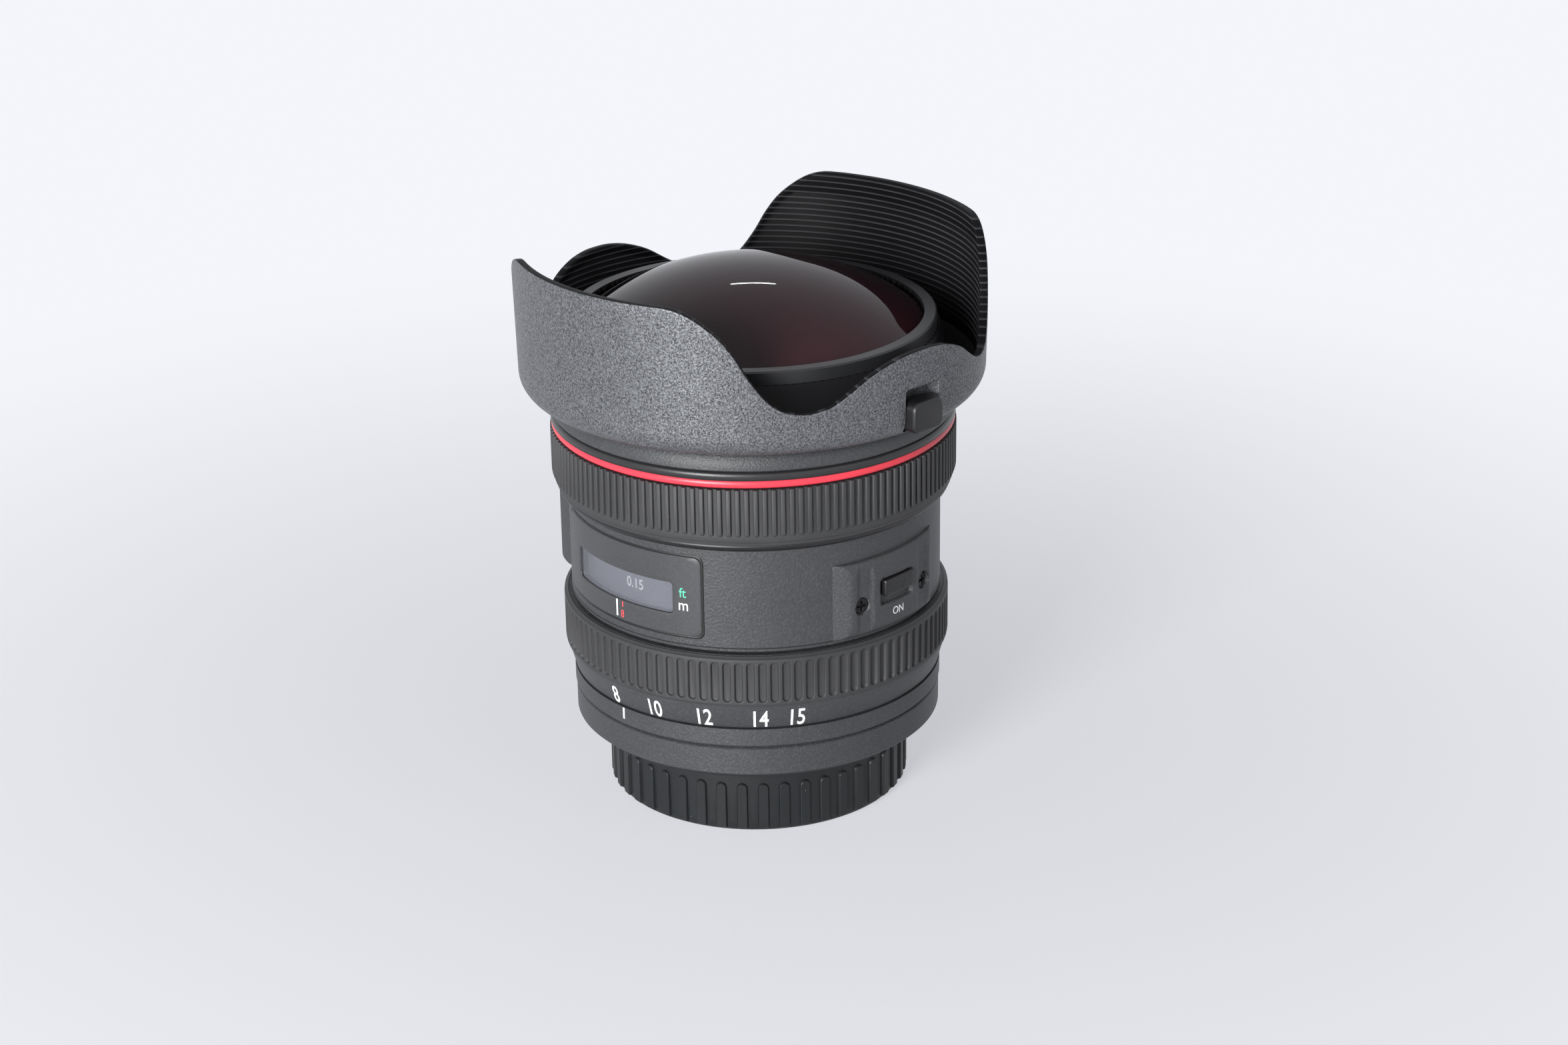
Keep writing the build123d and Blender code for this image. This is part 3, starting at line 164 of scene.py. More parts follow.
class StageSettings(bpy.types.PropertyGroup):
    """The camera's place and the studio's light."""

    azimuth: angle("Azimuth", "Side that the camera looks from, counted from the index line", 46.1)
    pitch: angle("Pitch", "How far the camera looks down", 22.457)
    roll: angle("Roll", "How far the camera leans", 0.794)
    aside: distance("Aside", "How far the camera stands to the right of the axis", 5.683 * MM)
    away: distance("Away", "How far the camera stands from the axis", 586.96 * MM)
    above: distance("Above", "Height of the camera over the floor", 295.52 * MM)
    focal_length: bpy.props.FloatProperty(name="Focal length", description="The camera's focal length",
                                          default=74.0, min=1, subtype="DISTANCE_CAMERA", unit="CAMERA")
    room_light: bpy.props.FloatProperty(name="Room light", description="Strength of the light from all round",
                                        default=0.45, min=0)
    key_power: bpy.props.FloatProperty(name="Key light", description="Power of the main softbox", default=13.0,
                                       min=0, subtype="POWER", unit="POWER")


class LensSettings(bpy.types.PropertyGroup):
    """Everything that a user can set."""

    colours: bpy.props.PointerProperty(type=LensColours, name="Colours", description="Colours of the lens")
    sizes: bpy.props.PointerProperty(type=LensSizes, name="Sizes", description="Sizes and counts")
    stage: bpy.props.PointerProperty(type=StageSettings, name="Stage", description="Camera and light")


def math_node(kind, turned=False):
    """An operator of Field, which adds one Math node; turned swaps its two values."""
    def operator(self, other):
        return self.math(kind, *((other, self) if turned else (self, other)))
    return operator


class Field:
    """A socket that takes part in sums and products."""

    def __init__(self, finish, socket):
        self.finish = finish
        self.socket = socket

    def math(self, operation, *values):
        return self.finish.node("ShaderNodeMath", {"operation": operation}, dict(enumerate(values)))

    def fract(self):
        return self.math("FRACT", self)

    __add__, __radd__ = math_node("ADD"), math_node("ADD", True)
    __sub__, __rsub__ = math_node("SUBTRACT"), math_node("SUBTRACT", True)
    __mul__, __rmul__ = math_node("MULTIPLY"), math_node("MULTIPLY", True)
    __truediv__ = math_node("DIVIDE")
    __gt__, __lt__ = math_node("GREATER_THAN"), math_node("LESS_THAN")


class Finish:
    """One material, built node by node."""

    def __init__(self, name):
        self.material = bpy.data.materials.new(name)
        self.material.use_nodes = True
        self.tree = self.material.node_tree
        self.tree.nodes.clear()

    @classmethod
    def on(cls, tree):
        """The same tools on another node tree, such as the world's or a repeat's."""
        tools = cls.__new__(cls)
        tools.tree = tree
        tree.nodes.clear()
        return tools

    def node(self, kind, settings=None, values=None, out=0):
        """Adds a node: its settings first, then the values or links of its sockets."""
        made = self.tree.nodes.new(kind)
        for key, value in (settings or {}).items():
            setattr(made, key, value)
        for key, value in (values or {}).items():
            if isinstance(value, Field):
                self.tree.links.new(value.socket, made.inputs[key])
            else:
                made.inputs[key].default_value = value
        return Field(self, made.outputs[out]) if len(made.outputs) else None

    def place(self):
        return self.node("ShaderNodeTexCoord", out="Object")

    def noise(self, size, detail=2.0):
        """Cloudy pattern whose spots measure about that size."""
        return self.node("ShaderNodeTexNoise", {}, {"Vector": self.place(), "Scale": 1 / size, "Detail": detail})

    def ramp(self, value, low, high):
        """0 below low, 1 above high, straight in between."""
        return self.node("ShaderNodeMapRange", {}, {"Value": value, "From Min": low, "From Max": high})

    def blend(self, share, first, second):
        """Mixes two colours."""
        first = first if isinstance(first, Field) else (*first, 1)
        second = second if isinstance(second, Field) else (*second, 1)
        return self.node("ShaderNodeMix", {"data_type": "RGBA"}, {0: share, 6: first, 7: second}, out=2)

    def specks(self, spacing, size, share):
        """Mask of small scattered specks; a share of the cells holds one."""
        cells = {"Vector": self.place(), "Scale": 1 / spacing}
        near = self.node("ShaderNodeTexVoronoi", {}, cells, out="Distance")
        pick = self.node("ShaderNodeTexVoronoi", {}, cells, out="Color")
        chance = self.node("ShaderNodeSeparateColor", {}, {0: pick})
        return (near < size / spacing) * (chance < share)

    def relief(self, height, depth):
        """Bump whose height field spans that depth."""
        return self.node("ShaderNodeBump", {}, {"Height": height, "Distance": depth})

    def surface(self, colour, roughness, normal=None, **settings):
        """Closes the material with a Principled surface."""
        values = {"Base Color": colour, "Roughness": roughness}
        if normal:
            values["Normal"] = normal
        values.update({key.replace("_", " ").title().replace("Ior", "IOR"): value
                       for key, value in settings.items()})
        return self.close(self.node("ShaderNodeBsdfPrincipled", {}, values))

    def close(self, shader):
        self.node("ShaderNodeOutputMaterial", {}, {"Surface": shader})
        return self.material


def shade(colour, factor):
    """A darker or lighter version of a colour."""
    return tuple(min(part * factor, 1) for part in colour)


def crinkle_paint(name, colour, grain_size=0.45 * MM, depth=0.11 * MM, roughness=0.40):
    """Textured black paint: fine wrinkles with a painted highlight on their crests, a slow change of tone and a
    little dust.
    """
    finish = Finish(name)
    grain = finish.noise(grain_size, 3.0)
    tone = finish.noise(30 * grain_size)
    dust = finish.specks(2.4 * MM, 0.05 * MM, 0.10)
    # crest marks the wrinkles' high points; the lighter colour put on them is a painted highlight
    crest = finish.ramp(grain, 0.45, 0.75)
    base = finish.blend(tone, shade(colour, 0.8), shade(colour, 1.2))
    crest_with_painted_highlight = finish.blend(crest * 0.6, base, shade(colour, 2.0))
    worn = finish.blend(dust, crest_with_painted_highlight, (0.30, 0.30, 0.31))
    return finish.surface(worn, roughness + 0.16 * grain, finish.relief(grain, depth), specular_ior_level=0.45)


def hood_shell(name, colour, flake_and_painted_sparkle):
    """Moulded shell speckled with fine bright metal flakes; their metal reflects the lamps, and their pale colour is
    also painted sparkle.
    """
    finish = Finish(name)
    fine = finish.noise(0.16 * MM, 1.0)
    coarse = finish.noise(0.38 * MM, 3.0)
    # flake mask: where it is high the colour turns pale (painted sparkle) and the surface turns metal, which
    # reflects the lamps
    flakes_with_painted_sparkle = finish.ramp(0.5 * fine + 0.5 * coarse, 0.40, 0.72)
    dust = finish.specks(3.2 * MM, 0.06 * MM, 0.10)
    worn = finish.blend(dust, finish.blend(flakes_with_painted_sparkle * 0.8, colour, flake_and_painted_sparkle), (0.45, 0.45, 0.46))
    rough = 0.46 - 0.10 * flakes_with_painted_sparkle
    return finish.surface(worn, rough, finish.relief(0.6 * fine + coarse, 0.07 * MM), metallic=0.9 * flakes_with_painted_sparkle,
                          specular_ior_level=0.25)


def moulding(name, colour, cloud_size, shades, grain, dust, dust_tone, roughness, gloss):
    """Moulded plastic or rubber, clouded by handling, with fine grain and dust.

    shades are the colour's darkest and lightest share, grain is (size, detail, depth), dust is (spacing, size,
    share of the cells), and roughness is (least, how much the clouds add).
    """
    finish = Finish(name)
    cloud = finish.noise(cloud_size, 3.0)
    fine = finish.noise(grain[0], grain[1])
    base = finish.blend(cloud, *(shade(colour, each) for each in shades))
    worn = finish.blend(finish.specks(*dust), base, dust_tone)
    return finish.surface(worn, roughness[0] + roughness[1] * cloud, finish.relief(fine, grain[2]),
                          specular_ior_level=gloss)


def black_lining(name, colour, roughness=0.34):
    """Smooth black moulding with faint handling marks."""
    return moulding(name, colour, 6 * MM, (1, 1.5), (0.12 * MM, 1.0, 0.003 * MM), (4.5 * MM, 0.07 * MM, 0.14),
                    (0.35, 0.35, 0.36), (roughness, 0.16), 0.12)


def ribbed_lining(name, colour, ridge_foot, ridge_pitch):
    """Black lining with a painted highlight along its rib edges."""
    finish = Finish(name)
    height = finish.node("ShaderNodeSeparateXYZ", {}, {0: finish.place()}, out="Z")
    share = ((height - ridge_foot) / ridge_pitch).fract()
    # the lighter colour just above each rib's foot is a painted highlight on the rib edge
    painted_rib_highlight = finish.ramp(share, 0.30, 0.05) * (height > ridge_foot)
    cloud = finish.noise(5 * MM, 3.0)
    base = finish.blend(painted_rib_highlight * (0.4 + cloud), shade(colour, 1.2), (0.060, 0.060, 0.066))
    return finish.surface(base, 0.40 + 0.16 * cloud, specular_ior_level=0.06)


def grip_rubber(name, colour):
    """Matt rubber with lint caught in it."""
    return moulding(name, colour, 7 * MM, (0.8, 1.3), (0.10 * MM, 2.0, 0.010 * MM), (1.5 * MM, 0.06 * MM, 0.16),
                    (0.22, 0.22, 0.22), (0.50, 0.14), 0.40)


def moulded_cap(name, colour):
    """Moulded plastic with light scuffs and dust."""
    return moulding(name, colour, 5 * MM, (0.85, 1.3), (0.20 * MM, 2.0, 0.006 * MM), (1.9 * MM, 0.07 * MM, 0.14),
                    (0.30, 0.31, 0.31), (0.38, 0.14), 0.35)


def satin(name, colour, roughness=0.30, metallic=0.0, gloss=0.45):
    """Even satin coat over a turned part."""
    finish = Finish(name)
    cloud = finish.noise(5 * MM)
    grain = finish.noise(0.15 * MM)
    base = finish.blend(cloud, shade(colour, 0.93), shade(colour, 1.07))
    return finish.surface(base, roughness + 0.08 * cloud, finish.relief(grain, 0.002 * MM), metallic=metallic,
                          specular_ior_level=gloss)


def coated_glass(name, colour, cover, gloss):
    """Thin clear glass over something dark; cover is how much of it the coating hides."""
    finish = Finish(name)
    dust = finish.specks(5 * MM, 0.06 * MM, 0.16)
    film = finish.noise(9 * MM)
    base = finish.blend(film, colour, shade(colour, 0.9))
    return finish.surface(base, 0.03 + 0.2 * dust, specular_ior_level=gloss, alpha=cover)


def front_dome(name, left, right):
    """Domed front glass: plum in its depth, with a painted wine-red reflection of the coating towards one side, and
    a trace of dust.
    """
    finish = Finish(name)
    painted_reflection_turn = 75
    across = finish.node("ShaderNodeVectorMath", {"operation": "DOT_PRODUCT"},
                         {0: finish.place(), 1: polar(1, painted_reflection_turn, 0)}, out="Value")
    # share of the painted wine-red reflection of the coating, growing towards one side of the dome
    side = finish.ramp(across, -30 * MM, 34 * MM)
    dust = finish.specks(5 * MM, 0.06 * MM, 0.16)
    base = finish.blend(dust * 0.5, finish.blend(side, left, right), (0.4, 0.4, 0.4))
    return finish.surface(base, 0.03 + 0.25 * dust, ior=2.6, specular_ior_level=0.04, alpha=0.85)


def print_ink(name, colour):
    """Printed ink, slightly uneven."""
    finish = Finish(name)
    speckle = finish.noise(0.25 * MM)
    return finish.surface(finish.blend(speckle, colour, shade(colour, 0.88)), 0.45)


def polar(radius, turn, height):
    """Point at an angle in degrees, counted from the index line at -Y towards +X."""
    return Vector((radius * sin(radians(turn)), -radius * cos(radians(turn)), height))


def add_piece(mesh, name, body, nodes=(), finishes=(), sharp=30):
    """Makes a finished mesh a piece that rides on a body."""
    mesh.name = name
    for each in finishes:
        mesh.materials.append(finish(each))
    mesh.shade_smooth()
    mesh.set_sharp_from_angle(angle=radians(sharp))
    piece = bpy.data.objects.new(name, mesh)
    bpy.context.scene.collection.objects.link(piece)
    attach(piece, body)
    if nodes:
        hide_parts(*nodes)


def dress(mesh, node, *finishes, sharp=30):
    """Puts a finished mesh in the place of a CAD node."""
    add_piece(mesh, f"{node}_finished", body_of(node), (node,), finishes, sharp)


def sewn(*meshes):
    """New bmesh from meshes, with points that lie on one another joined."""
    shape = bmesh.new()
    for mesh in meshes:
        shape.from_mesh(mesh)
    bmesh.ops.remove_doubles(shape, verts=shape.verts, dist=WELD)
    return shape


def settled(shape, mesh):
    """Writes a bmesh into a mesh."""
    shape.to_mesh(mesh)
    shape.free()
    return mesh


def bmesh_to_mesh(shape):
    """Turns a bmesh into a mesh with its faces outwards."""
    bmesh.ops.remove_doubles(shape, verts=shape.verts, dist=WELD)
    bmesh.ops.recalc_face_normals(shape, faces=shape.faces)
    return settled(shape, bpy.data.meshes.new("piece"))


def bridge(shape, rows, closed=True):
    """Faces between neighbouring rows of points; closed rows run all the way round."""
    for first, second in zip(rows, rows[1:]):
        for i in range(0 if closed else 1, len(first)):
            shape.faces.new((first[i - 1], first[i], second[i], second[i - 1]))


def flat(name, corners):
    """Mesh of one flat face at the floor's height."""
    mesh = bpy.data.meshes.new(name)
    mesh.from_pydata([(x, y, 0) for x, y in corners], [], [tuple(range(len(corners)))])
    return mesh


def rectangle(width, height):
    """Corners of a rectangle around the origin, counter-clockwise."""
    return [(x * width / 2, y * height / 2) for x, y in ((-1, -1), (1, -1), (1, 1), (-1, 1))]


def lathe(outline, segments=192, start=0, end=360):
    """Closed turned mesh, or a sector of one, from the (radius, height) points of its half section."""
    shape = bmesh.new()
    rows = []
    sector = end - start < 360
    for step in range(segments + sector):
        turn = start + (end - start) * step / segments
        rows.append([shape.verts.new(polar(radius, turn, height)) for radius, height in outline])
    if sector:
        shape.faces.new(rows[0])
        shape.faces.new(rows[-1])
    for step in range(segments):
        row, following = rows[step], rows[(step + 1) % len(rows)]
        for index in range(len(outline)):
            near = (index + 1) % len(outline)
            if outline[index][0] < WELD and outline[near][0] < WELD:
                continue
            shape.faces.new((row[index], following[index], following[near], row[near]))
    bmesh.ops.remove_doubles(shape, verts=shape.verts, dist=WELD)
    bmesh.ops.dissolve_degenerate(shape, dist=WELD / 2, edges=shape.edges)
    return bmesh_to_mesh(shape)


def refined(node, *finishes, sharp=28, choose=None):
    """Shows a CAD node with its triangles joined and its round faces smooth; choose picks a face's finish."""
    mesh = settled(sewn(frame["nodes"][node].data), bpy.data.meshes.new(node))
    mesh.materials.clear()
    for face in mesh.polygons:
        face.material_index = choose(face.center, face.normal) if choose else 0
    dress(mesh, node, *finishes, sharp=sharp)


def slot_of(node):
    """Material slot that the record gives a node."""
    return next(part["material_slot"] for part in frame["record"]["subparts"] if part["node"] == node)


def body_of(node):
    """Moving body that a node belongs to."""
    return frame["nodes"][node]["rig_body"]


def repeat_tree():
    """Geometry nodes that set copies of a tile around the axis."""
    tree = bpy.data.node_groups.new("Repeat around axis", "GeometryNodeTree")
    for name, kind in (("Geometry", "Geometry"), ("Tile", "Object"), ("Count", "Int"), ("Finish", "Material")):
        tree.interface.new_socket(name, in_out="INPUT", socket_type=f"NodeSocket{kind}")
    tree.interface.new_socket("Geometry", in_out="OUTPUT", socket_type="NodeSocketGeometry")
    tools = Finish.on(tree)
    tile, count, paint = (tools.node("NodeGroupInput", out=name) for name in ("Tile", "Count", "Finish"))
    turn = tools.node("GeometryNodeInputIndex") / count * (2 * pi)
    copies = tools.node("GeometryNodeInstanceOnPoints", {}, {
        "Points": tools.node("GeometryNodePoints", {}, {"Count": count}),
        "Instance": tools.node("GeometryNodeObjectInfo", {}, {"Object": tile}, out="Geometry"),
        "Rotation": tools.node("ShaderNodeCombineXYZ", {}, {"Z": turn})})
    real = tools.node("GeometryNodeRealizeInstances", {}, {0: copies})
    painted = tools.node("GeometryNodeSetMaterial", {}, {"Geometry": real, "Material": paint})
    tools.node("NodeGroupOutput", {}, {0: painted})
    return tree


def repeated(tile, count, material):
    """Mesh of a tile repeated around the axis and joined edge to edge."""
    tree = bpy.data.node_groups.get("Repeat around axis") or repeat_tree()
    tile_object = bpy.data.objects.new("tile", tile)
    carrier = bpy.data.objects.new("carrier", bpy.data.meshes.new("carrier"))
    for made in (tile_object, carrier):
        bpy.context.scene.collection.objects.link(made)
    modifier = carrier.modifiers.new("Repeat", "NODES")
    modifier.node_group = tree
    sockets = {item.name: item.identifier for item in tree.interface.items_tree if item.in_out == "INPUT"}
    for key, value in (("Tile", tile_object), ("Count", count), ("Finish", material)):
        modifier[sockets[key]] = value
    bpy.context.view_layer.update()
    graph = bpy.context.evaluated_depsgraph_get()
    mesh = bpy.data.meshes.new_from_object(carrier.evaluated_get(graph))
    carrier.modifiers.remove(modifier)
    bpy.data.objects.remove(carrier)
    bpy.data.objects.remove(tile_object)
    shape = sewn(mesh)
    bmesh.ops.recalc_face_normals(shape, faces=shape.faces)
    return settled(shape, mesh)


def stadium(width, low, high, inset, steps=7, square_foot=False):
    """Outline of a slot with round ends, or of a rib with a round head and a square foot."""
    half = width / 2 - inset
    head = high - width / 2
    base = low + width / 2
    points = [(half * cos(pi * step / steps), head + half * sin(pi * step / steps)) for step in range(steps + 1)]
    if square_foot:
        return points + [(-half, low + inset), (half, low + inset)]
    return points + [(-x, base + head - y) for x, y in points]


def figure_tile(count, radius, low, high, rings, above, below):
    """Tile of a sleeve: a figure raised or sunk in its face, and the sleeve's rows above and below.

    rings are (outline, offset) pairs from the face inwards; above and below are (radius, height) rows
    that lead round to the sleeve's back.
    """
    shape = bmesh.new()

    def vert(along, height, distance_out):
        return shape.verts.new(polar(distance_out, degrees(along / radius), height))

    half_width = radius * pi / count
    side_steps = 6
    heights = [low + (high - low) * step / side_steps for step in range(side_steps + 1)]
    border = [vert(half_width, height, radius) for height in heights] + [vert(0, high, radius)]
    border += [vert(-half_width, height, radius) for height in reversed(heights)] + [vert(0, low, radius)]
    loops = [[vert(x, y, radius + offset) for x, y in outline] for outline, offset in rings]
    edges = []
    for loop in (border, loops[0]):
        edges += [shape.edges.new((loop[i - 1], loop[i])) for i in range(len(loop))]
    bmesh.ops.triangle_fill(shape, use_beauty=True, edges=edges)
    bridge(shape, loops)
    shape.faces.new(loops[-1])
    rows = [(radius, high), *above, *reversed(below), (radius, low)]
    bridge(shape, [[vert(along, height, row_radius) for along in (-half_width, 0, half_width)]
                   for row_radius, height in rows], closed=False)
    return bmesh_to_mesh(shape)


def rib_tile(count, valley, crest, low, high, width, below):
    """Tile of a sleeve with one rib along it, whose lower end runs out in a curve; below leads in to its foot."""
    shape = bmesh.new()
    half_width = valley * pi / count
    rise = crest - valley
    edge = 0.28 * rise
    run_out, run_steps = 0.6 * width, 5
    # (place across, share of the rise), and then (radius, height, share of the rise, share of the width)
    across = [(-half_width, 0), (-width / 2, 0), (-width / 2 + 0.3 * edge, 0.62), (-width / 2 + edge, 0.93),
              (-width / 4, 1), (width / 4, 1), (width / 2 - edge, 0.93), (width / 2 - 0.3 * edge, 0.62),
              (width / 2, 0), (half_width, 0)]
    rows = [(radius, height, 0, 1) for radius, height in below]
    for step in range(run_steps + 1):
        share = step / run_steps
        rows.append((valley, low + run_out * share, sqrt(1 - (1 - share) ** 2), 0.35 + 0.65 * sqrt(share)))
    rows += [(valley, high - 0.1 * MM, 1, 1), (valley, high, 0.85, 0.96)]
    grid = []
    for radius, height, lift, narrow in rows:
        line = []
        for index, (along, share) in enumerate(across):
            side = along if index in (0, len(across) - 1) else along * narrow
            line.append(shape.verts.new(polar(radius + rise * lift * share, degrees(side / valley), height)))
        grid.append(line)
    bridge(shape, grid + grid[:1], closed=False)
    return bmesh_to_mesh(shape)


def ease(value, start, end):
    """0 before start, 1 after end, with a smooth step in between."""
    share = min(max((value - start) / (end - start), 0), 1)
    return share * share * (3 - 2 * share)


def soft_least(first, second, reach_of_blend):
    """The smaller of two values, rounded where they meet."""
    share = min(max(0.5 + 0.5 * (second - first) / reach_of_blend, 0), 1)
    return second + (first - second) * share - reach_of_blend * share * (1 - share)


def box_distance(x, y, half_width, half_height, corner):
    """Signed distance from a rectangle with round corners."""
    over_x, over_y = abs(x) - half_width + corner, abs(y) - half_height + corner
    return hypot(max(over_x, 0), max(over_y, 0)) + min(max(over_x, over_y), 0) - corner


def relief_patch(turn, half_span, low, high, outer_at, inner_radius, pitch):
    """Closed patch of a sleeve whose face follows outer_at(degrees from the middle, height)."""
    columns = round(2 * half_span / degrees(pitch / inner_radius))
    rows = round((high - low) / pitch)
    shape = bmesh.new()
    face, back = [], []
    for column in range(columns + 1):
        away = half_span * (2 * column / columns - 1)
        heights = [low + (high - low) * row / rows for row in range(rows + 1)]
        face.append([shape.verts.new(polar(outer_at(away, height), turn + away, height)) for height in heights])
        back.append([shape.verts.new(polar(inner_radius, turn + away, height)) for height in heights])
    bridge(shape, face, closed=False)
    bridge(shape, back, closed=False)
    for end in (0, -1):
        bridge(shape, (face[end], back[end]), closed=False)
        bridge(shape, [[line[end] for line in grid] for grid in (face, back)], closed=False)
    return bmesh_to_mesh(shape)


def rounded_box(half_width, half_height, corner, steps=6):
    """Outline of a rectangle with round corners, counter-clockwise."""
    outline = []
    for quarter in range(4):
        for step in range(steps + 1):
            lean = pi / 2 * (quarter + step / steps)
            side_x = 1 if quarter in (0, 3) else -1
            side_y = 1 if quarter in (0, 1) else -1
            outline.append((side_x * (half_width - corner) + corner * cos(lean),
                            side_y * (half_height - corner) + corner * sin(lean)))
    return outline


def divided(outline, pieces=36, short=2 * MM):
    """The same outline with each side but the short ones cut into pieces, so that it bends with the barrel."""
    points = []
    for index, (x, y) in enumerate(outline):
        u, v = outline[(index + 1) % len(outline)]
        count = pieces if hypot(u - x, v - y) > short else 1
        points += [(x + (u - x) * step / count, y + (v - y) * step / count) for step in range(count)]
    return points


def block(turn, height, sections):
    """Closed block on a tangent plane; its sections are (outline, distance from the axis), back first."""
    shape = bmesh.new()
    across = Vector((cos(radians(turn)), sin(radians(turn)), 0))
    rings = []
    for outline, out in sections:
        middle = polar(out, turn, height)
        rings.append([shape.verts.new(middle + across * x + Vector((0, 0, y))) for x, y in outline])
    bridge(shape, rings)
    shape.faces.new(rings[0])
    shape.faces.new(rings[-1])
    return bmesh_to_mesh(shape)


def soft_block(turn, height, half_size, corner, depths, edge, corner_loss=0.0):
    """Block with a rounded front edge, given as (inset, drop) pairs in millimetres; depths are back and face."""
    (half_width, half_height), (back, face) = half_size, depths
    sections = [(rounded_box(half_width, half_height, corner), back)]
    sections += [(rounded_box(half_width - inset * MM, half_height - inset * MM, corner - corner_loss * inset * MM),
                  face - drop * MM) for inset, drop in edge]
    return block(turn, height, sections)


def wrapped_rings(turn, height, rings):
    """Closed ring-shaped mesh around the barrel's surface from (outline, radius) rings."""
    shape = bmesh.new()
    loops = [[shape.verts.new(polar(radius, turn + degrees(x / radius), height + y)) for x, y in outline]
             for outline, radius in rings]
    bridge(shape, loops + loops[:1])
    return bmesh_to_mesh(shape)


def cross_head(turn, height, floor, head_radius, head_height):
    """Screw head with a cross recess, on a tangent plane."""
    shape = bmesh.new()
    across = Vector((cos(radians(turn)), sin(radians(turn)), 0))
    rings, around = 22, 48
    arm, wide, deep = 0.68 * head_radius, 0.15 * head_radius, 0.8 * head_height

    def level(x, y):
        dome = head_height * (1 - 0.25 * (hypot(x, y) / head_radius) ** 2)
        cross = min(box_distance(x, y, arm, wide, 0.05 * MM), box_distance(x, y, wide, arm, 0.05 * MM))
        return dome - deep * (1 - ease(cross, -0.06 * MM, 0.04 * MM))

    def vert(x, y, lift):
        return shape.verts.new(polar(floor + lift, turn, height) + across * x + Vector((0, 0, y)))

    loops = []
    for ring in range(1, rings + 1):
        far = head_radius * ring / rings
        spots = [(far * cos(2 * pi * i / around), far * sin(2 * pi * i / around)) for i in range(around)]
        loops.append([vert(x, y, level(x, y)) for x, y in spots])
    loops.append([vert(x, y, 0) for x, y in spots])
    middle = vert(0, 0, level(0, 0))
    for i in range(around):
        shape.faces.new((middle, loops[0][i - 1], loops[0][i]))
    bridge(shape, loops)
    shape.faces.new(loops[-1])
    return bmesh_to_mesh(shape)


def lettering(text, height, thickness, bold=0.012, narrow=0.88):
    """Mesh of printed text in its own plane, its middle at the origin."""
    curve = bpy.data.curves.new("lettering", "FONT")
    curve.body = text
    curve.size = 1.0
    curve.offset = bold
    curve.resolution_u = 5
    curve.align_x = "CENTER"
    writer = bpy.data.objects.new("lettering", curve)
    bpy.context.scene.collection.objects.link(writer)
    bpy.context.view_layer.update()
    mesh = bpy.data.meshes.new_from_object(writer.evaluated_get(bpy.context.evaluated_depsgraph_get()))
    bpy.data.objects.remove(writer)
    rows = [vert.co.y for vert in mesh.vertices]
    scale = height / (max(rows) - min(rows))
    middle = (max(rows) + min(rows)) / 2
    mesh.transform(Matrix.Diagonal((scale * narrow, scale, 1, 1)) @ Matrix.Translation((0, -middle, 0)))
    return thickened(mesh, thickness)


def bar(width, height, thickness):
    """Mesh of a plain printed bar."""
    return thickened(flat("bar", rectangle(width, height)), thickness)


def thickened(mesh, thickness):
    """Cuts a flat figure finely enough to bend and gives it its thickness."""
    shape = sewn(mesh)
    bmesh.ops.triangulate(shape, faces=shape.faces)
    for _ in range(3):
        long_edges = [edge for edge in shape.edges if edge.calc_length() > LONGEST_STROKE]
        if not long_edges:
            break
        bmesh.ops.subdivide_edges(shape, edges=long_edges, cuts=1)
        bmesh.ops.triangulate(shape, faces=shape.faces)
    if sum(face.normal.z for face in shape.faces) <= 0:
        bmesh.ops.reverse_faces(shape, faces=shape.faces)
    copied = bmesh.ops.extrude_face_region(shape, geom=shape.faces[:])
    for vert in [item for item in copied["geom"] if isinstance(item, bmesh.types.BMVert)]:
        vert.co.z += thickness
    bmesh.ops.recalc_face_normals(shape, faces=shape.faces)
    return settled(shape, mesh)


def skin(shown):
    """Radius of an object's outside at an angle and a height."""
    mesh = shown.data
    surface = BVHTree.FromPolygons([vert.co for vert in mesh.vertices], [face.vertices for face in mesh.polygons])

    def radius_at(turn, level):
        spot = surface.ray_cast(polar(RAY_START, turn, level), polar(-1, turn, 0))[0]
        return hypot(spot.x, spot.y)

    return radius_at


def wrapped(mesh, turn, height, radius_at):
    """Bends a flat figure round the axis, onto a surface whose radius depends on angle and height."""
    flat_radius = radius_at(turn, height)
    for vert in mesh.vertices:
        level = height + vert.co.y
        spot = turn + degrees(vert.co.x / flat_radius)
        vert.co = polar(radius_at(spot, level) + vert.co.z, spot, level)
    return mesh


def joined(meshes):
    """One mesh from several."""
    shape = bmesh.new()
    for mesh in meshes:
        shape.from_mesh(mesh)
        bpy.data.meshes.remove(mesh)
    return settled(shape, bpy.data.meshes.new("piece"))


# satin finishes that no setting colours: title, colour, roughness, metallic
SATINS = {
    "trim": ("Smooth black metal", (0.030, 0.030, 0.031), 0.30, 0.3),
    "ring": ("Front ring metal", (0.022, 0.0225, 0.024), 0.38, 0.2),
    "knob": ("Switch plastic", (0.007, 0.007, 0.008), 0.34),
    "seal": ("Seal rubber", (0.004, 0.004, 0.004), 0.42),
    "steel": ("Blackened steel", (0.020, 0.020, 0.021), 0.32, 0.7),
    "drum": ("Drum black", (0.006, 0.006, 0.007), 0.5),
    "mount": ("Plated mount", (0.72, 0.72, 0.73), 0.22, 1.0),
    "gold": ("Gold contacts", (0.83, 0.62, 0.22), 0.2, 1.0),
    "brass": ("Roller brass", (0.65, 0.48, 0.20), 0.3, 1.0),
    "anodised": ("Black anodised", (0.03, 0.03, 0.032), 0.4, 0.6),
    "board": ("Solder mask", (0.02, 0.12, 0.05), 0.4),
}


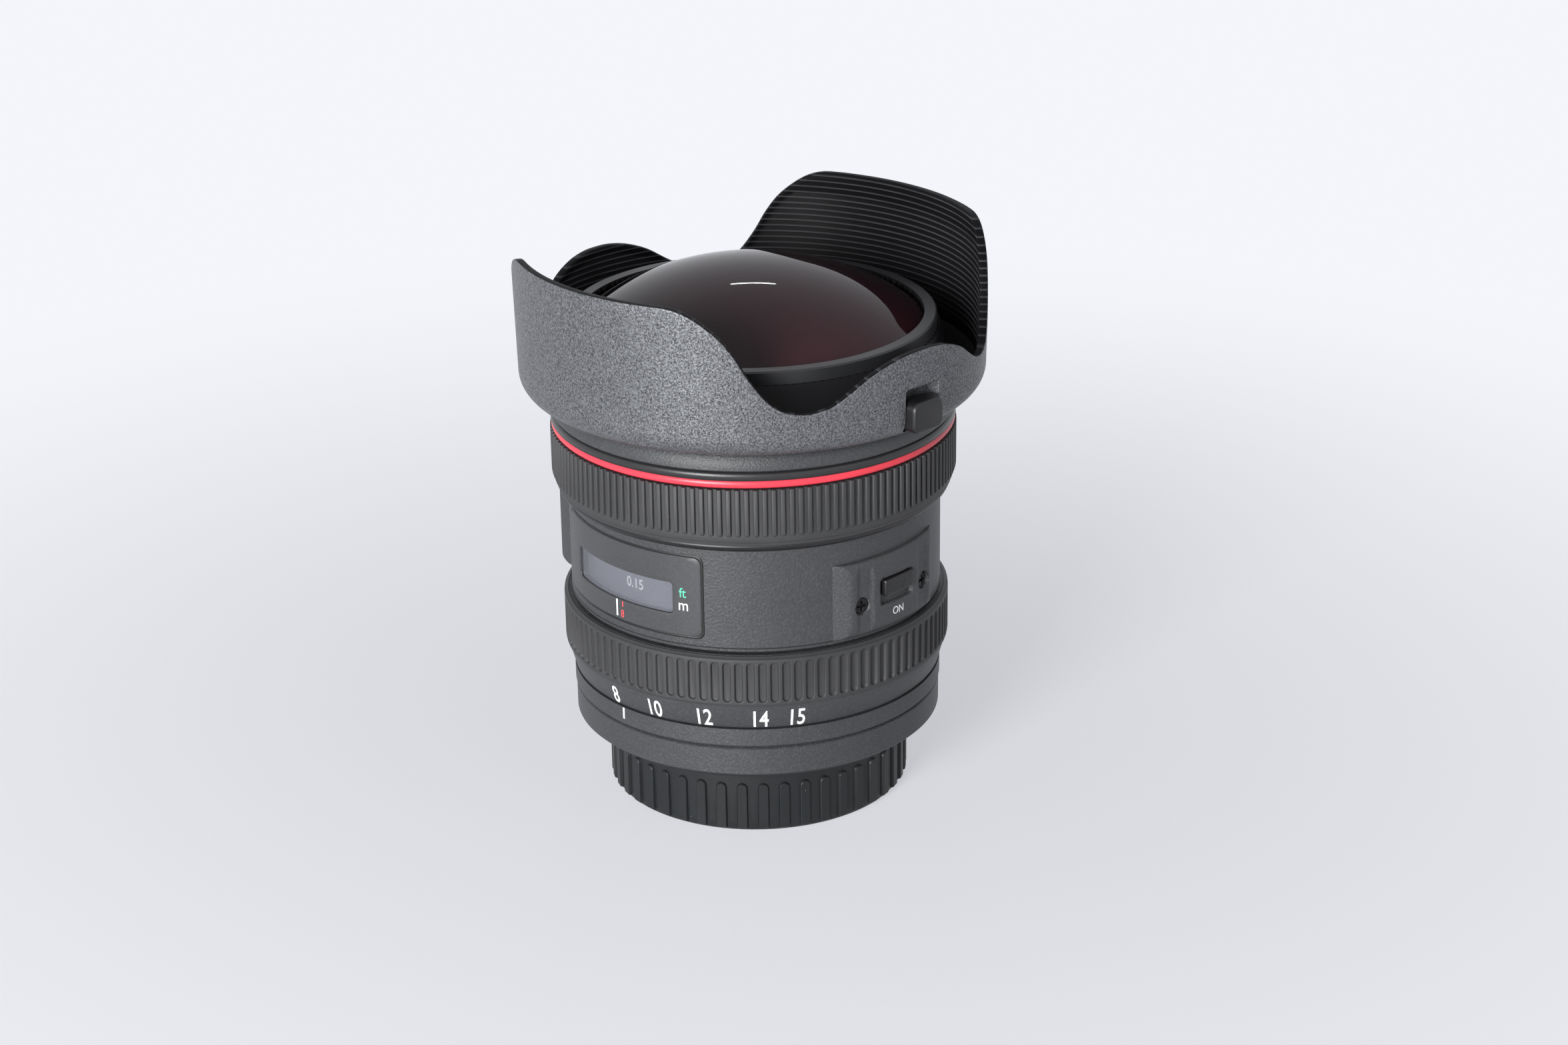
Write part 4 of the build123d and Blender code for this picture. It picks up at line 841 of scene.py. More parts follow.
def palette(colours):
    """How each other finish is made, by name."""
    return {
        "paint": lambda: crinkle_paint("Crinkle paint", colours.paint),
        "plate": lambda: crinkle_paint("Scale plate paint", shade(colours.paint, 1.1), 0.24 * MM, 0.02 * MM, 0.36),
        "shell": lambda: hood_shell("Hood shell", colours.shell, colours.flake_and_painted_sparkle),
        "lining": lambda: black_lining("Black lining", colours.lining),
        "hood_lining": lambda: ribbed_lining("Ribbed lining", colours.lining, foot("hood") + 6.35 * MM, 1.2 * MM),
        "rubber": lambda: grip_rubber("Grip rubber", colours.rubber),
        "cap": lambda: moulded_cap("Moulded cap", colours.cap),
        "red": lambda: satin("Red paint", colours.red, 0.28),
        "front_glass": lambda: front_dome("Coated front glass", colours.plum, colours.wine),
        "hollow_glass": lambda: coated_glass("Coated glass hollow", colours.plum, 0.30, 0.12),
        "glass_edge": lambda: satin("Glass edge paint", shade(colours.plum, 0.5), 0.6, gloss=0.05),
        "inner_glass": lambda: coated_glass("Coated inner glass", colours.glass, 0.15, 0.2),
        # the pane's pale lavender colour is a painted reflection of the room on the glass
        "pane": lambda: coated_glass("Window pane", (0.30, 0.31, 0.36), 0.32, 0.1),
        "ink": lambda: print_ink("White ink", colours.mark),
        "green_ink": lambda: print_ink("Green ink", colours.mark_green),
        "red_ink": lambda: print_ink("Red ink", colours.mark_red),
        "inner_black": lambda: black_lining("Inner black", (0.008, 0.008, 0.009), 0.55),
    }


def finish(name):
    """One finish by name, made when it is first used."""
    material = next((each for each in bpy.data.materials if each.get("finish") == name), None)
    if not material:
        maker = palette(bpy.context.scene.lens.colours).get(name)
        material = maker() if maker else satin(*SATINS[name])
        material["finish"] = name
    return material


class LENS_OT_hood(bpy.types.Operator):
    """Petal hood and its release button"""

    bl_idname = "lens.hood"
    bl_label = "Hood"

    foot_radius, wall_radius, rim_radius, wall = 41.0 * MM, 45.05 * MM, 45.6 * MM, 1.65 * MM
    bowl_height, floor_height = 3.9 * MM, 2.5 * MM
    collar_drop, collar_wall, collar_top = 1.45 * MM, 1.9 * MM, 5.55 * MM
    # the rim's wave over one quarter: (degrees, share of the way down to the valley, or up to the side petal)
    valley, side_top = 8.55 * MM, 16.7 * MM
    fall = ((0, 0), (12, 0), (18, 0), (23, 0), (27.5, 0.008), (31.5, 0.055), (35.5, 0.15), (39.5, 0.285),
            (42.6, 0.445), (45.7, 0.65), (49.7, 0.855), (53, 0.95), (56.5, 0.992), (60, 1))
    rise = ((64.8, 0.1), (69.2, 0.33), (74.7, 0.66), (80.7, 0.885), (86, 0.985), (90, 1))
    ribs, rib_pitch, rib_depth, rib_head = 15, 1.2 * MM, 0.35 * MM, 4.4 * MM
    # the button's pocket outside and its house inside: middle, half width, half height, corner
    button_turn, pocket_span, pocket_floor = 90.5, 20, 42.2 * MM
    pocket = (5.4 * MM, 4.4 * MM, 4.3 * MM, 0.9 * MM)
    house = (5.4 * MM, 6.05 * MM, 5.1 * MM, 0.5 * MM)
    # heights of the outer rows in millimetres, dense at the bowl's foot and at the pocket's edges
    outer_rows = (0, 0.01, 0.04, 0.10, 0.2, 0.35, 0.55, 0.75, 0.9, 1.0, 1.06, 1.12, 1.18, 1.26, 1.4, 1.7, 2.1, 2.6,
                  3.2, 3.9, 5, 6, 7, 8, 8.8, 9.3, 9.52, 9.6, 9.66, 9.72, 9.8, 10, 11, 12.5, *range(14, 28, 2), 28.4)
    # the rounded rim: (way in, way down) in millimetres
    rim_edge = ((0.03, 0.17), (0.11, 0.06), (0.28, 0), (1.25, 0), (1.45, 0.06), (1.58, 0.2))

    def rim_height(self, turn):
        """Height of the rim over the hood's foot, a smooth wave through the points of one quarter."""
        petal = top("hood") - foot("hood")
        points = [(spot, petal - share * (petal - self.valley)) for spot, share in self.fall]
        points += [(spot, self.valley + share * (self.side_top - self.valley)) for spot, share in self.rise]
        points = [(-spot, height) for spot, height in points[1:3]] + points
        points += [(180 - spot, height) for spot, height in points[-3:-1]][::-1]
        turn = abs((turn + 180) % 360 - 180)
        turn = min(turn, 180 - turn)
        last = next(i for i in range(2, len(points)) if points[i][0] >= turn)
        (x0, y0), (x1, y1), (x2, y2), (x3, y3) = (points[i] for i in (last - 2, last - 1, last, last + 1))
        first_slope = (y2 - y0) / (x2 - x0) * (x2 - x1)
        last_slope = (y3 - y1) / (x3 - x1) * (x2 - x1)
        t = (turn - x1) / (x2 - x1)
        return ((2 * t**3 - 3 * t**2 + 1) * y1 + (t**3 - 2 * t**2 + t) * first_slope
                + (3 * t**2 - 2 * t**3) * y2 + (t**3 - t**2) * last_slope)

    def column(self, turn):
        """Closed half section of the hood at an angle: (radius, height) points, outside first."""
        petal = top("hood") - foot("hood")
        lean = (self.rim_radius - self.wall_radius) / (petal - self.bowl_height)
        rim = self.rim_height(turn)
        aside = (turn - self.button_turn + 180) % 360 - 180

        def leaning(height):
            return self.wall_radius + lean * (height - self.bowl_height)

        def sunk(radius, height, hollow, floor, start, end):
            """The radius where the pocket or its house is cut in, eased over its edge."""
            if abs(aside) >= self.pocket_span:
                return radius
            middle, *half_size, corner = hollow
            gap = box_distance(sin(radians(aside)) * self.wall_radius, height - middle, *half_size, corner)
            return radius + (min(floor / cos(radians(aside)), radius) - radius) * (1 - ease(gap, start, end))

        def outside(height):
            radius = leaning(height)
            if height < self.bowl_height:
                share = 1 - height / self.bowl_height
                radius = self.foot_radius + (self.wall_radius - self.foot_radius) * sqrt(1 - share**2)
            return sunk(radius, height, self.pocket, self.pocket_floor, -0.14 * MM, 0.03 * MM)

        def inside(height):
            return sunk(leaning(height) - self.wall, height, self.house, self.pocket_floor - self.wall / 2,
                        -0.1 * MM, 0.1 * MM)

        rows = [min(height * MM, rim - 0.35 * MM) for height in self.outer_rows]
        points = [(outside(height), height) for height in rows]
        outer, inner = outside(rim), inside(rim)
        points += [(outer + (inner - outer) * inset * MM / self.wall, rim - drop * MM)
                   for inset, drop in self.rim_edge]
        levels = [(petal - drop * MM, 0) for drop in (0.5, 1.5, 2.5, 3.5)]
        for index in range(self.ribs):
            head = petal - self.rib_head - index * self.rib_pitch
            levels += [(head, 0), (head - 0.02 * MM, 1), (head - 0.4 * MM, 0.67), (head - 0.8 * MM, 0.33)]
        levels += [(petal - self.rib_head - self.ribs * self.rib_pitch, 0), (5 * MM, 0), (4.4 * MM, 0)]
        for level, share in levels:
            height = min(level, rim - 0.5 * MM)
            depth = share * self.rib_depth * ease(rim - level, 1.0 * MM, 2.0 * MM)
            points.append((inside(height) + depth, height))
        collar = self.foot_radius - self.collar_drop
        bore = collar - self.collar_wall
        points += [(min(inside(self.bowl_height), self.wall_radius - self.wall), self.bowl_height),
                   (self.wall_radius - 2 * self.wall - 0.4 * MM, self.floor_height), (collar, self.floor_height),
                   (collar, self.collar_top), (bore, self.collar_top), (bore, 0)]
        return points

    def shell(self):
        """The hood's own mesh, column by column; rows that the rim cuts off share one point."""
        turns = [0.75 * step for step in range(480)]
        for side in (-1, 1):
            for hollow in (self.pocket, self.house):
                edge = degrees(asin(hollow[1] / self.wall_radius))
                turns += [self.button_turn + side * edge + 0.09 * step for step in range(-4, 4)]
        shape = bmesh.new()
        base = foot("hood")
        columns = []
        for turn in sorted(turns):
            verts = []
            points = self.column(turn)
            for index, (radius, height) in enumerate(points):
                same = index and hypot(radius - points[index - 1][0], height - points[index - 1][1]) < WELD
                verts.append(verts[-1] if same else shape.verts.new(polar(radius, turn, base + height)))
            columns.append(verts)
        for index, column in enumerate(columns):
            following = columns[(index + 1) % len(columns)]
            for row in range(len(column)):
                near = (row + 1) % len(column)
                corners = list(dict.fromkeys((column[row], following[row], following[near], column[near])))
                if len(corners) > 2:
                    face = shape.faces.new(corners)
                    face.material_index = 0 if row <= len(self.outer_rows) or near == 0 else 1
        dress(bmesh_to_mesh(shape), "hood", "shell", "hood_lining", sharp=35)

    def execute(self, context):
        self.shell()
        self.button()
        return {"FINISHED"}

    def button(self):
        lowest, highest = box("hood_button")
        half_size = highest.y, (highest.z - lowest.z) / 2
        edge = ((0, 0.9), (0.05, 0.55), (0.18, 0.25), (0.40, 0.07), (0.7, 0))
        dress(soft_block(90, (lowest.z + highest.z) / 2, half_size, 1.5 * MM, (lowest.x, highest.x), edge, 0.5),
              "hood_button", "knob")


class LENS_OT_front_glass(bpy.types.Operator):
    """Domed front glass, the ring around it and the glass behind it"""

    bl_idname = "lens.front_glass"
    bl_label = "Front glass"

    sphere, thickness = 56.32 * MM, 3.4 * MM
    hollow_radius, second_hollow = 21.0 * MM, 13.4 * MM
    steps = 40

    def execute(self, context):
        self.dome()

        def painted(centre, normal):
            return int(normal.z < 0.2 and hypot(centre.x, centre.y) > self.second_hollow)

        refined("second_element", "inner_glass", "glass_edge", choose=painted)
        for node in ("third_element", "focus_element_front", "focus_element_rear",
                     "zoom_element_front", "zoom_element_rear", "rear_element_front", "rear_element_rear"):
            refined(node, "inner_glass")
        refined("front_ring", "ring")
        refined("front_cell", "inner_black")
        return {"FINISHED"}

    def dome(self):
        (low, apex), rim_radius = span("front_element"), reach("front_element")
        hollow_rise = apex - self.thickness - low
        hollow_sphere = (self.hollow_radius**2 + hollow_rise**2) / (2 * hollow_rise)

        def arc(sphere, highest, widest):
            """(radius, height) points of a cap, from the axis out."""
            radii = [widest * step / self.steps for step in range(self.steps + 1)]
            return [(radius, highest - sphere + sqrt(sphere**2 - radius**2)) for radius in radii]

        front = arc(self.sphere, apex, rim_radius)
        back = arc(hollow_sphere, low + hollow_rise, self.hollow_radius)
        mesh = lathe(front + [(rim_radius, low)] + back[::-1], 256)
        for face in mesh.polygons:
            around = hypot(face.center.x, face.center.y)
            if face.normal.z < -0.99 and around > self.hollow_radius or around > rim_radius - 0.2 * MM:
                face.material_index = 1
            elif face.normal.z < 0:
                face.material_index = 2
        add_piece(mesh, "front_glass", body_of("front_element"), ("front_element",),
                  ("front_glass", "glass_edge", "hollow_glass"))


class LENS_OT_grips(bpy.types.Operator):
    """Rubber grips of the focus and zoom rings, and the ribbed rear cap"""

    bl_idname = "lens.grips"
    bl_label = "Grips and cap"

    def execute(self, context):
        sizes = context.scene.lens.sizes
        self.zoom_grip(sizes)
        self.focus_grip(sizes)
        self.rear_cap(sizes)
        return {"FINISHED"}

    def zoom_grip(self, sizes):
        radius = reach("zoom_grip")
        low, high = foot("zoom_grip") + sizes.cone_run, top("zoom_grip")
        core = 36.9 * MM
        shoulder = 0.4 * MM
        edge = 0.9 * MM
        pocket_low, pocket_high = low + 1.05 * MM, high - 1.15 * MM
        width, depth = sizes.pocket_width, sizes.pocket_depth
        # the pocket's wall: (inset in millimetres, share of the depth)
        rings = [(stadium(width, pocket_low, pocket_high, inset * MM), -share * depth)
                 for inset, share in ((-0.16, 0), (-0.07, 0.05), (0.02, 0.25), (0.08, 0.7), (0.16, 0.93), (0.3, 1))]
        above = [(radius - 0.06 * MM, high - 0.5 * edge), (radius - shoulder, high - 0.3 * MM),
                 (radius - shoulder - 0.3 * MM, high), (core, high)]
        below = [(radius - 0.06 * MM, low + 0.5 * edge), (radius - shoulder, low + 0.1 * MM),
                 (radius - shoulder, low), (core, low)]
        tile = figure_tile(sizes.zoom_pockets, radius, low + edge, high - edge, rings, above, below)
        mesh = repeated(tile, sizes.zoom_pockets, finish("rubber"))
        add_piece(mesh, "zoom_rubber", body_of("zoom_grip"), ("zoom_grip",), sharp=40)

    def focus_grip(self, sizes):
        crest = reach("focus_grip")
        valley = crest - 0.5 * MM
        low, high = span("focus_grip")
        core = 38.2 * MM
        smooth = 1.9 * MM
        below = [(core, high), (core, low), (crest - 0.85 * MM, low), (crest - 0.7 * MM, low + 0.45 * MM),
                 (crest - 0.78 * MM, low + 0.55 * MM), (crest - 0.66 * MM, low + 0.66 * MM),
                 (valley, low + 0.5 * smooth)]
        tile = rib_tile(sizes.focus_ribs, valley, crest, low + smooth, high, sizes.focus_rib_width, below)
        mesh = repeated(tile, sizes.focus_ribs, finish("rubber"))
        add_piece(mesh, "focus_rubber", body_of("focus_grip"), ("focus_grip",), sharp=40)

    def rear_cap(self, sizes):
        rise = 0.5 * MM
        face = 29.35 * MM
        low, high = span("rear_cap")
        floor_top = low + 1.6 * MM
        bore = face - 1.7 * MM
        edge, ribbed = 0.7 * MM, 11.5 * MM
        rib_low, rib_high = low + 0.75 * MM, low + 10.4 * MM
        rings = [(stadium(sizes.cap_rib_width, rib_low, rib_high, inset * MM, square_foot=True), share * rise)
                 for inset, share in ((-0.08, 0), (0, 0.35), (0.06, 0.8), (0.18, 1))]
        above = [(face, high - 0.3 * MM), (face - 0.3 * MM, high), (bore, high), (bore, floor_top), (0, floor_top)]
        below = [(face - 0.25 * MM, low + 0.28 * MM), (face - edge, low), (0, low)]
        tile = figure_tile(sizes.cap_ribs, face, low + edge, low + ribbed, rings, above, below)
        mesh = repeated(tile, sizes.cap_ribs, finish("cap"))
        add_piece(mesh, "cap_shell", body_of("rear_cap"), ("rear_cap",), sharp=35)


class LENS_OT_barrels(bpy.types.Operator):
    """Painted barrels and rings"""

    bl_idname = "lens.barrels"
    bl_label = "Barrels"

    edge = 0.35 * MM

    def execute(self, context):
        for node in ("rear_barrel", "index_ring"):
            refined(node, "paint")
        self.zoom_ring(context.scene.lens.sizes.cone_run)
        self.middle_barrel()
        refined("focus_ring", "knob", sharp=40)
        refined("red_ring", "red", sharp=60)
        refined("trim_band", "trim", sharp=60)
        band_top, neck = foot("hood") - 0.1 * MM, 37.5 * MM

        def lined(centre, normal):
            return int(centre.z >= band_top or hypot(centre.x, centre.y) <= neck)

        refined("front_barrel", "paint", "lining", choose=lined)
        refined("mount_seal", "seal")
        return {"FINISHED"}

    def zoom_ring(self, cone_run):
        (low, high), cone_head = span("zoom_ring"), foot("zoom_grip") + cone_run
        bore, core, foot_radius = 34.1 * MM, 36.9 * MM, 36.3 * MM
        outline = [(bore, low), (foot_radius - self.edge, low), (foot_radius, low + self.edge),
                   (reach("zoom_ring"), cone_head), (core, cone_head), (core, high), (bore, high)]
        dress(lathe(outline, 256), "zoom_ring", "paint")

    def middle_barrel(self):
        """Barrel in three sectors, which leave the opening of the distance window."""
        (low, high), radius = span("middle_barrel"), reach("middle_barrel")
        bore, opening, play = 35.0 * MM, 21.0, 0.2 * MM
        window_low, window_high = foot("scale_window") - play, top("scale_window") + play
        lower = [(bore, low), (radius - self.edge, low), (radius, low + self.edge), (radius, low + 0.8 * MM),
                 (radius - 0.3 * MM, low + 0.93 * MM), (radius, low + 1.05 * MM)]
        upper = [(radius, high - self.edge), (radius - self.edge, high), (bore, high)]
        side = lathe(lower + upper, 318, opening, 360 - opening)
        sill = lathe(lower + [(radius, window_low), (bore, window_low)], 42, -opening, opening)
        lintel = lathe([(bore, window_high), (radius, window_high)] + upper, 42, -opening, opening)
        dress(joined([side, sill, lintel]), "middle_barrel", "paint")


class LENS_OT_window(bpy.types.Operator):
    """Distance window: plate with its seam, pane and drum"""

    bl_idname = "lens.window"
    bl_label = "Distance window"

    plate_span, window_span = 30.6, 21.0

    def execute(self, context):
        lowest, highest = box("scale_plate")
        face = -lowest.y
        seat = face - 0.7 * MM
        middle = (lowest.z + highest.z) / 2
        half_width, half_height = radians(self.plate_span) * face, (highest.z - lowest.z) / 2
        window_low, window_high = span("scale_window")
        window_half_width, window_half_height = radians(self.window_span) * face, (window_high - window_low) / 2
        window_lift = (window_low + window_high) / 2 - middle

        def plate(inset):
            return rounded_box(half_width - inset * MM, half_height - inset * MM, 1.5 * MM, 8)

        def window(inset):
            return [(x, y + window_lift) for x, y in
                    rounded_box(window_half_width + inset * MM, window_half_height + inset * MM, 0.9 * MM, 8)]

        def between(share, first, second):
            return [((1 - share) * x + share * u, (1 - share) * y + share * v)
                    for (x, y), (u, v) in zip(divided(first), divided(second))]

        rings = [(divided(plate(inset)), level) for inset, level in
                 ((0.28, seat), (0.28, face - 0.22 * MM), (0.32, face - 0.08 * MM), (0.45, face))]
        rings += [(between(step / 8, plate(0.45), window(0.30)), face) for step in range(1, 9)]
        rings += [(divided(window(inset)), level) for inset, level in
                  ((0.12, face - 0.06 * MM), (0.04, face - 0.2 * MM), (0.04, seat))]
        rings += [(between(step / 4, window(0.04), plate(0.28)), seat) for step in range(1, 4)]
        dress(wrapped_rings(0, middle, rings), "scale_plate", "plate")
        seam = [(divided(plate(inset)), face - drop * MM) for inset, drop in
                ((0.30, 0.45), (0.30, 0.12), (0.20, 0.05), (-0.05, 0.05), (-0.16, 0.12), (-0.16, 0.45))]
        add_piece(wrapped_rings(0, middle, seam), "plate_seam", "barrel", finishes=("seal",), sharp=50)
        refined("scale_window", "pane")
        refined("distance_drum", "drum")
        return {"FINISHED"}


class LENS_OT_marks(bpy.types.Operator):
    """Printed numbers and index lines"""

    bl_idname = "lens.marks"
    bl_label = "Printed marks"

    focal_lengths = (("8", -1.4), ("10", 13.9), ("12", 30.1), ("14", 46.9), ("15", 58.0))
    metres = (("0.15", 4.7), ("0.2", -27), ("0.3", -39), ("0.5", -48), ("1", -54), ("∞", -60))

    def execute(self, context):
        sizes = context.scene.lens.sizes
        thick = sizes.print_height
        index, plate = skin(frame["nodes"]["index_ring"]), skin(frame["nodes"]["scale_plate"])
        cone = skin(bpy.data.objects["zoom_ring_finished"])
        plate_foot = foot("scale_plate")

        def on_plate(mark, turn, lift):
            return wrapped(mark, turn, plate_foot + lift * MM, plate)

        def printed(name, body, ink, marks):
            add_piece(joined(marks), name, body, finishes=(ink,))

        printed("zoom_numbers", "zoom_ring", "ink",
                [wrapped(lettering(text, sizes.digit_height, thick, narrow=0.69), turn,
                         foot("zoom_ring") + 2.25 * MM, cone) for text, turn in self.focal_lengths])
        index_line = wrapped(bar(0.45 * MM, 2.35 * MM, thick), 1.1, foot("index_ring") + 2.5 * MM, index)
        printed("white_marks", "barrel", "ink", [index_line, on_plate(bar(0.42 * MM, 3.46 * MM, thick), 0.15, 2.63),
                                                 on_plate(lettering("m", 1.5 * MM, thick, 0.004), 24.6, 6.22)])
        printed("green_mark", "barrel", "green_ink", [on_plate(lettering("ft", 1.95 * MM, thick, 0.004), 24.4, 9.1)])
        printed("red_marks", "barrel", "red_ink", [on_plate(bar(0.24 * MM, 1.15 * MM, thick), 2.6, 3.68),
                                                   on_plate(lettering("8", 1.55 * MM, thick, 0, 0.8), 2.45, 1.68)])
        drum_radius = reach("distance_drum")
        printed("metre_numbers", "focus_drum", "ink",
                [wrapped(lettering(text, (1.3 if text == "∞" else 2.1) * MM, thick), turn,
                         foot("scale_window") + 3.2 * MM, lambda turn, level: drum_radius)
                 for text, turn in self.metres])
        return {"FINISHED"}


class LENS_OT_switches(bpy.types.Operator):
    """Switch panels, knobs and their cross-head screws"""

    bl_idname = "lens.switches"
    bl_label = "Switches"

    # side, middle in degrees, radius of the face, length of its lower and upper slopes
    panels = (("limit", 91.9, 38.0 * MM, 3.5 * MM, 4.1 * MM), ("mode", -69.0, 39.1 * MM, 1.6 * MM, 1.6 * MM))
    # half widths in degrees: the whole panel, its crest, the sunk field, the raised middle and the screws' places
    half_span, crest_span, field_span, stage_span, screw_span = 22.1, 16.8, 14.4, 9.2, 13.2
    field_drop, well_depth, well_radius = 0.45 * MM, 0.8 * MM, 1.75 * MM
    seat = 36.4 * MM
    slot_floor = 37.0 * MM
    slot_half_width, slot_half_height, slot_corner = 4.6 * MM, 2.75 * MM, 0.8 * MM
    slot_lift, screw_lift, label_lift = 5.3 * MM, 6.3 * MM, 3.45 * MM
    head_radius, head_height = 1.45 * MM, 0.6 * MM
    labels = {"limit": "ON", "mode": "A    M"}
    knob_half_width, knob_corner, knob_rise = 4.0 * MM, 0.45 * MM, 0.5 * MM
    pointer_size, pointer_lean = (0.34 * MM, 1.9 * MM, 0.02 * MM), -22
    pointer_aside, pointer_up = 0.9 * MM, -0.35 * MM

    def execute(self, context):
        screws = []
        for side, turn, radius, foot_run, head_run in self.panels:
            low, high = span(f"{side}_panel")
            self.panel(side, turn, radius, low, high, foot_run, head_run)
            self.knob(side, turn, radius)
            well_floor = radius - self.field_drop - self.well_depth
            for sign in (-1, 1):
                screws.append(cross_head(turn + sign * self.screw_span, low + self.screw_lift, well_floor,
                                         self.head_radius, self.head_height))
        dress(joined(screws), "panel_screws", "steel")
        return {"FINISHED"}

    def panel(self, side, turn, radius, low, high, foot_run, head_run):
        lip = self.seat + 0.25 * MM
        swell = radius - lip
        slot_middle = low + self.slot_lift + self.slot_half_height
        screw_level = low + self.screw_lift
        field = radius - self.field_drop
        well_floor = field - self.well_depth

        def outer_at(away, height):
            span = abs(away)
            stage = self.field_drop * (1 - ease(span, self.stage_span - 0.3, self.stage_span + 1.4))
            crest = self.field_drop * ease(span, self.field_span - 0.7, self.crest_span - 1.0)
            slope = radius - (radius - self.seat) * (span - self.crest_span) / (self.half_span - self.crest_span)
            reached = soft_least(field + stage + crest, slope, 0.25 * MM)
            rise = min(max((height - low) / foot_run, 0), 1)
            fall = min(max((high - height) / head_run, 0), 1)
            bulge = min(sqrt(1 - (1 - rise) ** 2), sqrt(1 - (1 - fall) ** 2))
            reached = soft_least(reached, lip + (swell + 0.1 * MM) * bulge, 0.2 * MM)
            x = radians(away) * radius
            slot = box_distance(x, height - slot_middle, self.slot_half_width, self.slot_half_height,
                                self.slot_corner)
            if slot < 0.3 * MM:
                worn = 0.10 * MM * (1 - ease(slot, 0, 0.3 * MM))
                reached -= worn
                reached += (self.slot_floor - reached) * (1 - ease(slot, -0.14 * MM, 0.02 * MM))
            well = hypot(radians(span - self.screw_span) * radius, height - screw_level) - self.well_radius
            if well < 0.1 * MM:
                reached += (min(well_floor, reached) - reached) * (1 - ease(well, -0.14 * MM, 0.02 * MM))
            return max(reached, self.seat)

        mesh = relief_patch(turn, self.half_span, low, high, outer_at, self.seat - 0.1 * MM, 0.16 * MM)
        dress(mesh, f"{side}_panel", "paint", sharp=60)
        label = wrapped(lettering(self.labels[side], 1.55 * MM, 0.02 * MM, 0), turn, low + self.label_lift,
                        lambda spot, level: outer_at(spot - turn, level))
        add_piece(label, f"{side}_label", "barrel", finishes=("ink",))

    def knob(self, side, turn, radius):
        node = f"{side}_knob"
        low, high = span(node)
        middle, face = (low + high) / 2, radius + self.knob_rise
        edge = ((0, 0.55), (0.04, 0.30), (0.14, 0.12), (0.30, 0.03), (0.5, 0))
        body = soft_block(turn, middle, (self.knob_half_width, (high - low) / 2), self.knob_corner,
                          (self.slot_floor + 0.1 * MM, face), edge)
        # the pointer groove is drawn as a thin dark matt bar on the knob's face: painted shade of the groove
        pointer = bar(*self.pointer_size)
        pointer.transform(Matrix.Rotation(radians(self.pointer_lean), 4, "Z"))
        across = Vector((cos(radians(turn)), sin(radians(turn)), 0))
        for vert in pointer.vertices:
            x, y, z = vert.co
            vert.co = polar(face + z, turn, middle + self.pointer_up + y) + across * (x + self.pointer_aside)
        pointer_faces = len(pointer.polygons)
        both = joined([body, pointer])
        for drawn in both.polygons[-pointer_faces:]:
            drawn.material_index = 1
        dress(both, node, "knob", "drum")


class LENS_OT_inner_parts(bpy.types.Operator):
    """Finishes of the mount and of the parts inside"""

    bl_idname = "lens.inner_parts"
    bl_label = "Mount and inner parts"

    def execute(self, context):
        finishes = {"mount_metal": "mount", "screw_steel": "steel", "contact_gold": "gold", "roller_brass": "brass",
                    "inner_plastic": "inner_black", "inner_metal": "anodised", "blade_steel": "steel",
                    "board_green": "board"}
        for node, shown in frame["nodes"].items():
            if shown.hide_render:
                continue
            material = finish(finishes.get(slot_of(node), "inner_black"))
            shown.data.materials.clear()
            shown.data.materials.append(material)
        return {"FINISHED"}


